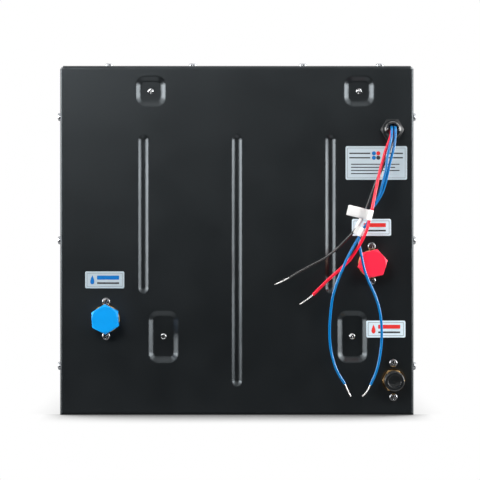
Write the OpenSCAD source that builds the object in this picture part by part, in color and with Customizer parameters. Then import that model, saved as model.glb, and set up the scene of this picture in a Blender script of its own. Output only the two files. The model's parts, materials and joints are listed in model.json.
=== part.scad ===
// Tankless water heater for a recreational vehicle, seen from its rear panel
// X is to the right as seen from behind, Y runs from the rear panel to the front door, Z is up
// Inside the modules Y is the depth from the outer face of the rear panel

/* [Casing] */
// Width over the rear panel
casing_w = 320; // [312:1:340]
// Height over the rear panel
casing_h = 316; // [312:1:330]
// Depth from the rear panel to the front frame
casing_d = 400; // [380:1:440]
// Thickness of the casing sheet
sheet_t = 1; // [0.8:0.1:1.2]
// Outside radius of the bends
bend_r = 2.5; // [2:0.1:3.5]
// Length of the turned rims
rim_l = 20; // [16:1:26]
// Size of the notch in the upper corners of the rear panel
notch = 2.6; // [1:0.1:4]

/* [Drawn beads and pockets] */
// Width of a bead at its mouth
bead_w = 10; // [8:0.5:14]
// Depth of a bead
bead_depth = 2.4; // [1:0.1:3]
// Sideways place of the outer beads
bead_x = 84.7; // [78:0.1:88]
// Distance from the top to the upper end of the beads
bead_drop = 62; // [58:1:76]
// Lower end of the outer beads
outer_bead_low = 110; // [106:1:140]
// Lower end of the middle bead
mid_bead_low = 26; // [20:1:60]
// Width of a pocket
pocket_w = 28; // [24:0.5:30]
// Height of an upper pocket
upper_pocket_h = 28; // [26:0.5:30]
// Height of a lower pocket
lower_pocket_h = 47.5; // [40:0.5:50]
// Depth of a pocket
pocket_depth = 3.5; // [2:0.1:4.5]
// Radius of a pocket corner
pocket_r = 9; // [7:0.5:10]
// Middle of the upper left pocket from the centre line
upper_left_x = -78; // [-82:0.5:-74]
// Middle of the upper right pocket from the centre line
upper_right_x = 110.5; // [108:0.5:112]
// Middle of the lower left pocket from the centre line
lower_left_x = -66.5; // [-68:0.5:-64]
// Middle of the lower right pocket from the centre line
lower_right_x = 104.5; // [103:0.5:106]
// Height of the middle of the lower pockets
lower_pocket_z = 71; // [68:0.5:74]
// Distance from the top to the middle of the upper pockets
upper_pocket_drop = 23; // [21:0.5:25]

/* [Ports] */
// Distance of the cold water port from the left side
cold_edge = 41.7; // [40:0.1:44]
// Cold water port, height
cold_z = 87; // [84:0.5:90]
// Distance of the hot water port from the right side
hot_edge = 38; // [36:0.1:39]
// Hot water port, height
hot_z = 137; // [134:0.5:139]
// Distance of the gas port from the right side
gas_edge = 18.4; // [17:0.1:20]
// Gas port, height
gas_z = 31.5; // [30:0.5:34]
// Distance between the two screws of a port
port_pitch = 31; // [30:0.5:34]
// Diameter of the collar of a water fitting
collar_d = 24.5; // [23:0.1:25]
// Diameter of the water thread
thread_d = 20.9; // [20:0.1:21.2]
// Pitch of the water thread
thread_pitch = 1.814; // [1.5:0.001:1.814]
// Turns that take a screw cap off
thread_turns = 5; // [4:0.5:5]
// Width across the flats of a screw cap
cap_flats = 23.4; // [23.4:0.1:26]
// Reach of the screw caps from the rear panel
cap_reach = 25; // [24:0.5:27]
// Width across the flats of the gas fitting
gas_flats = 17.6; // [16:0.1:18]
// Diameter of the gas cap
gas_cap_d = 18; // [17:0.1:19]

/* [Cable gland] */
// Distance of the gland from the right side
gland_edge = 19.5; // [18.5:0.1:20.5]
// Height of the gland
gland_z = 258; // [257:0.1:259]
// Width across the flats of the gland body
gland_flats = 18.5; // [18:0.1:20]
// Diameter of the dome nut
gland_dome_d = 16.6; // [16:0.1:17.4]
// Diameter of the hole in the dome nut
gland_hole_d = 9; // [8.8:0.1:9.6]

/* [Wires and tags] */
// Diameter of the red wire
red_wire_d = 2.8; // [2.2:0.1:2.8]
// Diameter of the black and the blue wires
thin_wire_d = 2.4; // [2:0.1:2.4]
// Diameter of a bare end
bare_d = 1.3; // [1:0.1:1.6]
// Thickness of a paper tag
tag_t = 0.35; // [0.2:0.05:0.5]

/* [Front] */
// Distance from a side of the casing to the door
door_side = 10; // [8:0.5:14]
// Depth of the door
door_l = 14; // [13:0.5:16]
// Height of the lower edge of the door
door_low = 20; // [19:0.5:22]
// Gap between the top of the casing and the top of the door
door_gap = 16; // [12:0.5:18]
// Thickness of the door seal
seal_t = 3; // [2.5:0.1:3.5]
// Thickness of a latch head
latch_head = 6; // [4:0.5:8]
// Diameter of the hinge rod
hinge_d = 4; // [3:0.1:4.5]
// Distance between the holes of the side brackets, upwards
bracket_pitch = 180; // [160:1:200]
// Diameter of the holes of the side brackets
bracket_hole = 5.5; // [4.5:0.1:6.5]
// Reach of the side brackets
bracket_reach = 21; // [19:0.5:26]

/* [Burner and heat exchanger] */
// Sideways middle of the burner and heat exchanger
stack_x = 17; // [16:0.5:18]
// Room beside the burner and heat exchanger, mean of both sides
stack_side = 76; // [74:0.5:76]
// Depth of the burner and heat exchanger
stack_l = 160; // [156:1:164]
// Number of burner bars
bar_count = 12; // [9:1:12]
// Number of fins
fin_count = 32; // [20:1:36]
// Thickness of a fin
fin_t = 0.8; // [0.5:0.1:1]
// Diameter of the water pipes
pipe_d = 12; // [11:0.1:12.6]
// Wall of the pipes
pipe_wall = 1; // [0.8:0.1:1.4]
// Diameter of the fan impeller
fan_d = 50; // [44:1:51]
// Number of fan blades
blade_count = 20; // [14:1:24]

/* [Clearances] */
// Gap round a screw
screw_gap = 0.2; // [0.15:0.05:0.4]
// Gap round a piece that stays in a hole
seat_gap = 0.1; // [0.05:0.01:0.2]
// Gap on each side between a pin and its bore
run_gap = 0.05; // [0.03:0.01:0.1]
// Gap between a cap and its thread
cap_gap = 0.3; // [0.2:0.05:0.4]
// Gap at the end of a moving piece
end_gap = 0.5; // [0.3:0.1:0.8]

/* [Hidden] */
$fn = 48;
s = sheet_t;
front_reach = door_l + latch_head;
// Places the middle of the whole length on the origin
rear_y = -(casing_d + front_reach - cap_reach) / 2;
upper_pocket_z = casing_h - upper_pocket_drop;
bead_top = casing_h - bead_drop;
cold_x = cold_edge - casing_w / 2;
hot_x = casing_w / 2 - hot_edge;
gas_x = casing_w / 2 - gas_edge;
gland_x = casing_w / 2 - gland_edge;
door_w = casing_w - 2 * door_side;
stack_w = casing_w - 2 * stack_side;
pockets = [
    [upper_left_x, upper_pocket_z, upper_pocket_h],
    [upper_right_x, upper_pocket_z, upper_pocket_h],
    [lower_left_x, lower_pocket_z, lower_pocket_h],
    [lower_right_x, lower_pocket_z, lower_pocket_h]];
beads = [
    [-bead_x, outer_bead_low],
    [0, mid_bead_low],
    [bead_x, outer_bead_low]];
cap_l = 9 + thread_pitch * thread_turns;
ports = [[cold_x, cold_z], [hot_x, hot_z], [gas_x, gas_z]];
// Casing screws: sideways places on the top rim, heights on the side rims
head_d = 7.6;
head_h = 2.6;
shank_d = 4;
rear_top_x = [-116, -40, 60, 130];
front_top_x = [-120, -42, 42, 120];
rim_z = [44, 158, 270];
// Stack of burner, chamber and hood
tray_z = 78.5;
box_z = tray_z + 1.5;
chamber_z = box_z + 50;
hood_z = chamber_z + 110;
hood_h = casing_h - hood_z - 16;
stack_y0 = 45;
stack_y1 = stack_y0 + stack_l;
stack_x0 = stack_x - stack_w / 2;
stack_x1 = stack_x + stack_w / 2;
stack_y = (stack_y0 + stack_y1) / 2;
elbow_r = 11;
pipe_off = pipe_d / 2 + 0.5;
// Upright edges of the chamber, round enough for the coil to pass
chamber_r = elbow_r - pipe_off;
// Drop of the first tube's bend where it enters the chamber
tube_drop = elbow_r - pipe_d / 2 + seat_gap - sqrt(pow(elbow_r - pipe_d / 2, 2) - pow(chamber_r, 2));
tube_z = chamber_z + 85;
tube_pitch = 2 * elbow_r + 8;
turn_x0 = stack_x0 - 3;
turn_x1 = stack_x1 + 1;
coil_z = chamber_z + 18;
coil_x0 = stack_x0 - pipe_off;
coil_x1 = stack_x1 + pipe_off;
coil_y0 = stack_y0 - pipe_off;
coil_y1 = stack_y1 + pipe_off;
bar_pitch = (stack_w - 14) / (bar_count - 1);
manifold_y = stack_y1 + 21;
manifold_z = box_z + 20;
fan_z = 42;
fan_y0 = stack_y - 22;
fan_y1 = stack_y + 22;
sensor_y0 = 30;
sensor_y1 = 80;
valve_y0 = 170;
valve_y1 = 240;
valve_x = casing_w / 2 - 21;
coil_end = valve_x - 17 - 26;
plunger_d = 9;
tee_z = 118;
duct_w = 100;
duct_z0 = hood_z + 4;
duct_z1 = hood_z + hood_h - 12;
inner_x = casing_w / 2 - 2 * s;
hinge_y = casing_d + 7;
hinge_z = 12;
door_high = casing_h - door_gap;
open_x = door_w / 2 - 12;
open_z0 = door_low + 8;
open_z1 = door_high - 10;
latch_x = door_w / 2 - 30;
// Joint between the knuckles of the door and of the frame
knuckle_x = door_w / 2 - 50;
knuckle_l = 20;
hinge_x = knuckle_x + knuckle_l + 2;
latch_z = open_z1 - 10;
latch_d = 8;
ctrl_x = -inner_x;
ctrl_w = 56;
ctrl_y0 = 60;
ctrl_y1 = 200;
ctrl_z1 = casing_h - 31;
ctrl_z0 = ctrl_z1 - 125;
// Routes of the wires from the gland: sideways, distance before the rear panel, height
red_route = [
    [139, 12, 256.4], [139, 18.5, 256.4], [138.5, 25, 254.6], [137.6, 30, 250.8], [135.8, 32.5, 246.2],
    [132.8, 33.5, 238.1], [130.3, 34.2, 229], [127.8, 35, 220.4], [124.7, 36.8, 206.7],
    [122, 39, 194.1], [120.4, 39.7, 185.5], [117.9, 39.7, 175.3], [115.4, 40.6, 166.6],
    [111.4, 40.8, 158], [106.8, 40.3, 149.9], [100.1, 39, 140.2], [92.4, 37.5, 132.6],
    [81.2, 35, 122.5], [67.9, 32, 109.3], [61.8, 31, 104.5], [56.2, 30.5, 100.8]];
black_route = [
    [142, 12, 256.4], [142, 18, 256.4], [141.8, 23, 254.5], [140.8, 26.5, 250.2], [138.8, 28.6, 244.5],
    [135.2, 29.8, 235], [131.5, 30.6, 225.9], [124, 32, 209.2], [119.1, 32.5, 196], [115.6, 33, 186.9],
    [111.5, 33.5, 177.3], [106.8, 33.5, 168.6], [97.3, 33.5, 158.5], [89.2, 33, 150.4],
    [78.5, 32.5, 142.3], [68.9, 32, 137.2], [56.7, 31.5, 130.6], [46.6, 31, 124.6], [40.5, 30.5, 121.5],
    [33.9, 30, 118.5]];
left_blue_route = [
    [139, 12, 259.6], [139, 20, 259.6], [138.8, 27.5, 258], [138.3, 33, 253.9], [137.6, 35.5, 248.3],
    [136, 36.2, 241.3], [134.4, 36.3, 233.1], [132.8, 36.4, 220.5], [130, 36.5, 209.3],
    [125.7, 36.6, 196.6], [120.2, 36.6, 185.4], [117.8, 36.6, 175.3], [113.1, 37.5, 168.7],
    [109.3, 39.2, 161.6], [104.3, 41, 153.4], [97.7, 42, 141.2], [94.4, 42, 133.1], [91, 41, 125.4],
    [87.2, 39, 114.3], [84.7, 37, 103.1], [82.9, 33.5, 81.9], [83.4, 31, 65.8], [86, 29.5, 51.7],
    [90, 28.5, 40.6], [96.6, 28, 29.5], [99.1, 28, 23.9], [102.2, 28, 18.4]];
right_blue_route = [
    [142, 12, 259.6], [142, 20, 259.6], [141.9, 27, 258.2], [141.7, 32, 254.4], [141.2, 34, 248.8],
    [140.2, 34.6, 241.2], [137, 34.8, 228.5], [134.2, 34.8, 215.8], [130.4, 34.2, 202.1],
    [124.5, 33.8, 191.5], [120.1, 33.9, 185.4], [117.6, 33.9, 175.2], [113, 34.4, 168.6],
    [109.1, 35.4, 161.5], [109.2, 36.2, 154.4], [110.5, 36.6, 147.8], [112.2, 36.6, 139.2],
    [114.5, 36.5, 129.6], [117.7, 36, 121.4], [124.1, 34, 107.3], [128.2, 31.5, 92.1],
    [129.6, 29.5, 73.4], [128, 28.5, 54.8], [124.7, 28, 40.6], [119.4, 28, 28.5], [116.1, 28, 22.4],
    [112.3, 28, 18.4]];
tip_points = 2;
// Middle of the gland in these routes
route_x = 140.5;
route_z = 258;

function arc(c, r, a0, a1, n) =
    [for (i = [0:n]) [c[0] + r * cos(a0 + (a1 - a0) * i / n), c[1] + r * sin(a0 + (a1 - a0) * i / n)]];

function round_rect(w, h, r) = concat(
    arc([w / 2 - r, h / 2 - r], r, 0, 90, 5),
    arc([r - w / 2, h / 2 - r], r, 90, 180, 5),
    arc([r - w / 2, r - h / 2], r, 180, 270, 5),
    arc([w / 2 - r, r - h / 2], r, 270, 360, 5));

// Half of the wall of a drawn shape: distance from its middle and depth, with rounded ends
wall_steps = [[0, 0], [0.07, 0.012], [0.14, 0.055], [0.86, 0.945], [0.93, 0.988], [1, 1]];
function wall(r0, r1, depth) = [for (q = wall_steps) [r0 + (r1 - r0) * q[0], depth * q[1]]];

function reversed(v) = [for (i = [len(v) - 1:-1:0]) v[i]];
function unit(v) = v / norm(v);

// Direction of a route at one of its points
function heading(p, i) = unit(p[min(i + 1, len(p) - 1)] - p[max(i - 1, 0)]);

// Ring of eight points square to a route
function ring(p, i, r) =
    let(t = heading(p, i), u = unit(cross(t, [1, 0, 0])), v = cross(t, u))
    [for (k = [0:7]) p[i] + r * (cos(45 * k) * u + sin(45 * k) * v)];

module place() {
    translate([0, rear_y, 0]) children();
}

// Flat outline in X and Z pushed along Y
module slab(y0, y1) {
    translate([0, y1, 0]) rotate([90, 0, 0]) linear_extrude(y1 - y0) children();
}

module rod_y(y0, y1, d) {
    translate([0, y0, 0]) rotate([-90, 0, 0]) cylinder(d = d, h = y1 - y0);
}

module rod_x(x0, x1, d) {
    translate([x0, 0, 0]) rotate([0, 90, 0]) cylinder(d = d, h = x1 - x0);
}

module box(x0, x1, y0, y1, z0, z1) {
    translate([x0, y0, z0]) cube([x1 - x0, y1 - y0, z1 - z0]);
}

// Tube along a list of points with square corners
module elbow(a, c, b, d, r) {
    u = unit(c - a);
    v = unit(b - c);
    w = cross(u, v);
    o = c - r * u + r * v;
    multmatrix([
        [-v[0], u[0], w[0], o[0]],
        [-v[1], u[1], w[1], o[1]],
        [-v[2], u[2], w[2], o[2]],
        [0, 0, 0, 1]])
        rotate_extrude(angle = 90) translate([r, 0]) circle(d = d);
}

module straight(a, b, d) {
    u = unit(b - a);
    p = abs(u[0]) > 0.5 ? [0, 1, 0] : [1, 0, 0];
    q = cross(u, p);
    multmatrix([
        [p[0], q[0], u[0], a[0]],
        [p[1], q[1], u[1], a[1]],
        [p[2], q[2], u[2], a[2]],
        [0, 0, 0, 1]])
        cylinder(d = d, h = norm(b - a));
}

module rod_along(p, d, r) {
    n = len(p) - 1;
    for (i = [0:n - 1]) {
        u = unit(p[i + 1] - p[i]);
        a = i == 0 ? p[i] : p[i] + r * u;
        b = i == n - 1 ? p[i + 1] : p[i + 1] - r * u;
        if (norm(p[i + 1] - p[i]) - (i == 0 ? 0 : r) - (i == n - 1 ? 0 : r) > 0.01)
            straight(a, b, d);
    }
    if (n > 1)
        for (i = [1:n - 1]) elbow(p[i - 1], p[i], p[i + 1], d, r);
}

module pipe(p) {
    difference() {
        rod_along(p, pipe_d, elbow_r);
        rod_along(p, pipe_d - 2 * pipe_wall, elbow_r);
    }
}

// Round swept wire between two points of its route
module wire(route, a, b, d) {
    p = [for (q = route) [q[0] + gland_x - route_x, -q[1], q[2] + gland_z - route_z]];
    n = b - a;
    pts = [for (i = [a:b]) each ring(p, i, d / 2)];
    sides = [for (i = [0:n - 1], k = [0:7])
        [8 * i + k, 8 * i + (k + 1) % 8, 8 * (i + 1) + (k + 1) % 8, 8 * (i + 1) + k]];
    caps = [[for (k = [7:-1:0]) k], [for (k = [0:7]) 8 * n + k]];
    polyhedron(pts, concat(sides, caps));
}

// Drawn shape: a and b are half the straight sides, r0 the radius at the mouth, r1 at the floor
module drawn(a, b, r0, r1, depth, lead) {
    w = wall(r0, r1, depth);
    half = concat([[0, -lead], [r0, -lead]], w, [[0, depth]]);
    right = concat([[r0, -lead]], w);
    translate([0, 0, -b]) linear_extrude(2 * b)
        polygon(concat(
            [for (q = right) [a + q[0], q[1]]],
            reversed([for (q = right) [-a - q[0], q[1]]])));
    for (k = [0, 1]) mirror([0, 0, k]) {
        if (a > 0)
            translate([-a, 0, b]) rotate([90, 0, 90]) linear_extrude(2 * a)
                polygon([for (q = half) [q[1], q[0]]]);
        for (m = [0, 1]) mirror([m, 0, 0])
            translate([a, 0, -b]) rotate([-90, 0, 0]) rotate_extrude(angle = 90) polygon(half);
    }
}

// All beads and pockets, grown by g
module pressings(g, lead) {
    for (p = pockets) translate([p[0], 0, p[1]])
        drawn(pocket_w / 2 - pocket_r, p[2] / 2 - pocket_r, pocket_r + g, pocket_r - 5.4 + g,
            pocket_depth, lead);
    for (b = beads) translate([b[0], 0, (bead_top + b[1]) / 2])
        drawn(0, (bead_top - b[1] - bead_w) / 2, bead_w / 2 + g, bead_w / 2 - 3.9 + g, bead_depth, lead);
}

// Outline of a pan across one of its directions
function pan_outline(w, l, r) = concat(
    arc([r - w / 2, r], r, 180, 270, 5), arc([w / 2 - r, r], r, 270, 360, 5), [[w / 2, l], [-w / 2, l]]);

module pan_body(w, h, l, r) {
    intersection() {
        linear_extrude(h) polygon(pan_outline(w, l, r));
        translate([-w / 2, 0, h / 2]) rotate([90, 0, 90]) linear_extrude(w)
            polygon([for (q = pan_outline(h, l, r)) [q[1], q[0]]]);
    }
}

module pan(w, h, l) {
    difference() {
        pan_body(w, h, l, bend_r);
        translate([0, s, s]) pan_body(w - 2 * s, h - 2 * s, l, bend_r - s);
    }
}

// Pan head screw along Z with its head above zero and a cross in the head
module screw(d, h, shank, l) {
    difference() {
        rotate_extrude()
            polygon(concat([[0, 0], [d / 2, 0]],
                [for (i = [0:5]) [d / 4 + d / 4 * cos(18 * i), h * 0.4 + h * 0.6 * sin(18 * i)]], [[0, h]]));
        translate([-d * 0.3, -d * 0.06, h * 0.5]) cube([d * 0.6, d * 0.12, h]);
        translate([-d * 0.06, -d * 0.3, h * 0.5]) cube([d * 0.12, d * 0.6, h]);
    }
    translate([0, 0, -l]) cylinder(d = shank, h = l);
}

module rim_screw_places(top_x, y) {
    for (x = top_x) translate([x, y, casing_h]) children();
    for (z = rim_z, k = [0, 1]) mirror([k, 0, 0])
        translate([casing_w / 2, y, z]) rotate([0, 90, 0]) children();
}

module rim_holes() {
    rim_screw_places(rear_top_x, rim_l / 2)
        translate([0, 0, -8]) cylinder(d = shank_d + 2 * screw_gap, h = 12);
    rim_screw_places(front_top_x, casing_d - rim_l / 2)
        translate([0, 0, -8]) cylinder(d = shank_d + 2 * screw_gap, h = 12);
}

module port_places() {
    for (p = ports, k = [-1, 1]) translate([p[0], 0, p[1] + k * port_pitch / 2]) children();
}

module rear_panel() {
    color("#22262a") place() difference() {
        union() {
            pan(casing_w, casing_h, rim_l);
            translate([0, s, 0]) pressings(s, s / 2);
        }
        pressings(0, 2);
        for (k = [-1, 1]) translate([k * casing_w / 2, rim_l / 2, casing_h])
            cube([2 * notch, 2 * rim_l, 2 * notch], center = true);
        for (x = [cold_x, hot_x]) translate([x, 0, x == cold_x ? cold_z : hot_z])
            rod_y(-1, 2 * s + 1, collar_d + 2 * screw_gap);
        translate([gas_x, 0, gas_z]) rod_y(-1, 2 * s + 1, gas_flats / cos(30) + 2 * screw_gap);
        translate([gland_x, 0, gland_z]) rod_y(-1, 2 * s + 1, 12 + 2 * screw_gap);
        port_places() rod_y(-1, 2 * s + 1, shank_d + 2 * screw_gap);
        for (p = pockets) translate([p[0], 0, p[1]]) rod_y(-1, 12, shank_d + 2 * screw_gap);
        rim_holes();
    }
}

module casing_shell() {
    w = casing_w - 2 * s;
    h = casing_h - 3 * s;
    color("#8d9092") place() difference() {
        translate([0, bend_r, s]) slab(0, casing_d - 2 * bend_r) difference() {
            polygon(concat(arc([bend_r - w / 2, bend_r], bend_r, 180, 270, 5),
                arc([w / 2 - bend_r, bend_r], bend_r, 270, 360, 5), [[w / 2, h], [-w / 2, h]]));
            polygon(concat(arc([bend_r - w / 2, bend_r], bend_r - s, 180, 270, 5),
                arc([w / 2 - bend_r, bend_r], bend_r - s, 270, 360, 5),
                [[w / 2 - s, h + 1], [s - w / 2, h + 1]]));
        }
        rim_holes();
    }
}

module top_panel() {
    w = casing_w - 2 * s;
    color("#8d9092") place() difference() {
        union() {
            box(-w / 2, w / 2, bend_r, casing_d - bend_r, casing_h - 2 * s, casing_h - s);
            for (k = [0, 1]) mirror([k, 0, 0])
                box(w / 2 - 2 * s, w / 2 - s, bend_r, casing_d - bend_r, casing_h - 17, casing_h - 1.5 * s);
        }
        rim_holes();
    }
}

module frame_knuckles() {
    for (k = [0, 1]) mirror([k, 0, 0]) children();
}

module front_frame() {
    color("#22262a") place() difference() {
        union() {
            difference() {
                translate([0, casing_d, 0]) mirror([0, 1, 0]) pan(casing_w, casing_h, rim_l);
                box(-open_x, open_x, casing_d - 5, casing_d + 5, open_z0, open_z1);
            }
            frame_knuckles() {
                translate([0, hinge_y, hinge_z]) rod_x(knuckle_x, knuckle_x + knuckle_l, 9);
                box(knuckle_x, knuckle_x + knuckle_l, casing_d - s / 2, hinge_y, hinge_z - 3, hinge_z + 3);
            }
        }
        rim_holes();
        translate([0, hinge_y, hinge_z]) rod_x(-door_w / 2, door_w / 2, hinge_d + 2 * run_gap);
    }
}

module side_brackets() {
    x0 = casing_w / 2 - s;
    y1 = casing_d - rim_l - 3;
    color("#8d9092") place() for (k = [0, 1]) mirror([k, 0, 0]) difference() {
        union() {
            box(x0, x0 + 1.5, y1 - 27, y1, casing_h / 2 - 115, casing_h / 2 + 115);
            box(x0, x0 + bracket_reach + s, y1 - 1.5, y1, casing_h / 2 - 115, casing_h / 2 + 115);
        }
        for (m = [-1, 1]) translate([x0 + bracket_reach - 7, 0, casing_h / 2 + m * bracket_pitch / 2])
            rod_y(y1 - 5, y1 + 5, bracket_hole);
    }
}

module casing_screws() {
    color("#c9ccce") place() {
        rim_screw_places(rear_top_x, rim_l / 2) screw(head_d, head_h, shank_d, 7);
        rim_screw_places(front_top_x, casing_d - rim_l / 2) screw(head_d, head_h, shank_d, 7);
    }
}

module pocket_screws() {
    color("#c9ccce") place() for (p = pockets)
        translate([p[0], pocket_depth, p[1]]) rotate([90, 0, 0]) screw(5.8, 2.2, shank_d, 8);
}

module port_screws() {
    color("#c9ccce") place() port_places() rotate([90, 20, 0]) screw(7.6, 2.6, shank_d, 6);
}

module gland_body() {
    color("#2a2e31") place() translate([gland_x, 0, gland_z]) difference() {
        union() {
            translate([0, -5, 0]) rotate([-90, 0, 0]) intersection() {
                cylinder(d = gland_flats / cos(30), h = 5, $fn = 6);
                union() {
                    cylinder(d1 = gland_flats - 1.2, d2 = gland_flats / cos(30) + 0.6, h = 1.9);
                    translate([0, 0, 1.9]) cylinder(d = gland_flats / cos(30) + 0.6, h = 5);
                }
            }
            rod_y(-9, 12, 12);
        }
        rod_y(-10, 13, 8.6);
    }
}

module gland_nut() {
    r = gland_dome_d / 2;
    color("#2a2e31") place() translate([gland_x, -5, gland_z]) rotate([90, 0, 0]) rotate_extrude()
        polygon(concat([[6 + cap_gap, 0], [r, 0]], arc([r - 4.5, 6], 4.5, 0, 60, 6),
            [[gland_hole_d / 2 + 0.6, 10.4], [gland_hole_d / 2, 10],
            [gland_hole_d / 2, 7.5], [6 + cap_gap, 7]]));
}

module gland_seal() {
    color("#17191b") place() translate([gland_x, 0, gland_z]) {
        rod_y(-12, -9, gland_hole_d - 2 * seat_gap);
        rod_y(-9, 4, 8.6 - 2 * seat_gap);
    }
}

module gland_locknut() {
    color("#2a2e31") place() translate([gland_x, s, gland_z]) rotate([-90, 0, 0]) difference() {
        cylinder(d = gland_flats / cos(30), h = 4, $fn = 6);
        translate([0, 0, -1]) cylinder(d = 12 + 2 * seat_gap, h = 6);
    }
}

// Flange of a port with two screw holes
module port_flange() {
    difference() {
        slab(s, s + 4) intersection() {
            square([25, port_pitch + 14], center = true);
            circle(d = port_pitch + 14);
        }
        for (k = [-1, 1]) translate([0, 0, k * port_pitch / 2]) rod_y(0, 10, shank_d + 2 * seat_gap);
    }
}

module water_fitting() {
    difference() {
        union() {
            port_flange();
            rod_y(cap_l + end_gap - cap_reach, 6, collar_d);
            rod_y(5 - cap_reach, 6, thread_d);
            rod_y(4, sensor_y0, 18);
        }
        rod_y(-cap_reach, sensor_y0 + 1, 13);
        for (k = [-1, 1]) translate([0, 0, k * port_pitch / 2]) rod_y(-cap_reach, 0, head_d + 2 * screw_gap);
    }
}

module cap_washer() {
    difference() {
        rod_y(4 - cap_reach, 5 - cap_reach, thread_d - 0.9);
        rod_y(-cap_reach - 5, 9, 9);
    }
}

// Hexagonal screw cap with a rounded off front
module hex_cap(turn) {
    y0 = -cap_reach;
    difference() {
        intersection() {
            translate([0, y0, 0]) rotate([0, turn, 0]) rotate([-90, 0, 0])
                cylinder(d = cap_flats / cos(30), h = cap_l, $fn = 6);
            translate([0, y0, 0]) rotate([-90, 0, 0]) union() {
                cylinder(d1 = cap_flats - 0.6, d2 = cap_flats / cos(30) + 1, h = 2.6);
                translate([0, 0, 2.6]) cylinder(d = cap_flats / cos(30) + 1, h = cap_reach);
            }
        }
        rod_y(y0 + 4, 0, thread_d + 2 * cap_gap);
    }
}

module cold_fitting() {
    color("#b98a52") place() translate([cold_x, 0, cold_z]) water_fitting();
}

module hot_fitting() {
    color("#b98a52") place() translate([hot_x, 0, hot_z]) water_fitting();
}

module cold_washer() {
    color("#2b2b2b") place() translate([cold_x, 0, cold_z]) cap_washer();
}

module hot_washer() {
    color("#2b2b2b") place() translate([hot_x, 0, hot_z]) cap_washer();
}

module cold_cap() {
    color("#0a9fe8") place() translate([cold_x, 0, cold_z]) hex_cap(-93);
}

module hot_cap() {
    color("#e8334f") place() translate([hot_x, 0, hot_z]) hex_cap(-12.8);
}

module gas_fitting() {
    color("#b98a52") place() translate([gas_x, 0, gas_z]) difference() {
        union() {
            port_flange();
            translate([0, -8, 0]) rotate([-90, 0, 0]) cylinder(d = gas_flats / cos(30), h = 12, $fn = 6);
            rod_y(-19, -7, 14);
            rod_y(4, 20, 14);
        }
        rod_y(-20, 21, 9);
    }
}

module gas_cap() {
    r = gas_cap_d / 2;
    color("#1b1d1f") place() translate([gas_x, -8, gas_z]) rotate([90, 0, 0]) rotate_extrude()
        polygon(concat([[7 + cap_gap, 0], [r, 0], [r, 2.2], [r - 0.4, 2.6], [r - 0.4, 3.4], [r, 3.8]],
            arc([r - 1.4, 13], 1.4, 0, 90, 5),
            [[6.2, 14.4], [5.4, 13.4], [2.6, 13], [0, 12.9], [0, 11], [7 + cap_gap, 11]]));
}

module label_plate(x, z, w, h) {
    translate([x, 0, z]) slab(-0.3, 0) polygon(round_rect(w, h, 1.4));
}

module port_labels() {
    color("#b9c4ca") place() {
        label_plate(hot_x - 0.2, hot_z + 32.7, 35.4, 15.3);
        label_plate(cold_x - 1.2, cold_z + 35.2, 35.4, 15.3);
        label_plate(gas_x - 6.8, gas_z + 46.2, 35.4, 15.3);
    }
}

module wiring_label() {
    color("#b9c4ca") place() label_plate(gland_x - 14.3, gland_z - 30, 55.6, 30.4);
}

module red_wire() {
    color("#d8283e") place() wire(red_route, 0, len(red_route) - 1 - tip_points, red_wire_d);
}

module black_wire() {
    color("#1a1a1c") place() wire(black_route, 0, len(black_route) - 1 - tip_points, thin_wire_d);
}

module left_blue_wire() {
    color("#0f6fc4") place() wire(left_blue_route, 0, len(left_blue_route) - 1 - tip_points, thin_wire_d);
}

module right_blue_wire() {
    color("#0f6fc4") place() wire(right_blue_route, 0, len(right_blue_route) - 1 - tip_points, thin_wire_d);
}

module bare_ends() {
    color("#c8c4bc") place() for (r = [red_route, black_route, left_blue_route, right_blue_route])
        wire(r, len(r) - 1 - tip_points, len(r) - 1, bare_d);
}

// Paper sleeve round wires that lie one behind the other, with a flag to one side
module sleeve(w, l, h, flag0, flag1) {
    r = w / 2;
    difference() {
        linear_extrude(h, center = true) union() {
            polygon(concat(arc([0, l / 2 - r], r + tag_t, 0, 180, 8),
                arc([0, r - l / 2], r + tag_t, 180, 360, 8)));
            translate([flag0, -tag_t / 2]) square([flag1 - flag0, tag_t]);
        }
        linear_extrude(h + 1, center = true)
            polygon(concat(arc([0, l / 2 - r], r, 0, 180, 8), arc([0, r - l / 2], r, 180, 360, 8)));
    }
}

module wire_tags() {
    color("#eceae4") place() translate([gland_x - route_x, 0, gland_z - route_z]) {
        translate([119, -36.9, 180.34]) rotate([0, 13.5, 0])
            sleeve(red_wire_d + 0.6, 8.8, 9.4, -21, 0);
        translate([109.15, -33.5, 172.96]) rotate([0, 28.9, 0])
            sleeve(thin_wire_d + 0.6, thin_wire_d + 0.6, 9.6, -0.2, 0.2);
        translate([110.9, -36.85, 165.25]) rotate([0, 29.1, 0])
            sleeve(thin_wire_d + 0.9, 7.8, 8.4, -6.2, 4.5);
    }
}

module door_panel() {
    h = door_high - door_low;
    y1 = casing_d + door_l;
    color("#22262a") place() difference() {
        union() {
            difference() {
                translate([0, y1, door_low]) mirror([0, 1, 0]) pan(door_w, h, door_l - seal_t);
                box(stack_x - duct_w / 2, stack_x + duct_w / 2, y1 - 5, y1 + 5, duct_z0, duct_z1);
                for (i = [0:7], k = [-1, 1]) translate([k * 66, 0, 62 + 12 * i])
                    box(-42, 42, y1 - 5, y1 + 5, 0, 4);
            }
            frame_knuckles() {
                translate([0, hinge_y, hinge_z]) rod_x(knuckle_x - knuckle_l, knuckle_x - end_gap, 9);
                box(knuckle_x - knuckle_l, knuckle_x - end_gap, hinge_y - 2.5, hinge_y + 2.5,
                    hinge_z, door_low + s / 2);
            }
        }
        translate([0, hinge_y, hinge_z]) rod_x(-door_w / 2, door_w / 2, hinge_d + 2 * run_gap);
        for (k = [-1, 1]) translate([k * latch_x, 0, latch_z]) rod_y(y1 - 5, y1 + 5, latch_d + 2 * run_gap);
    }
}

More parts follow.
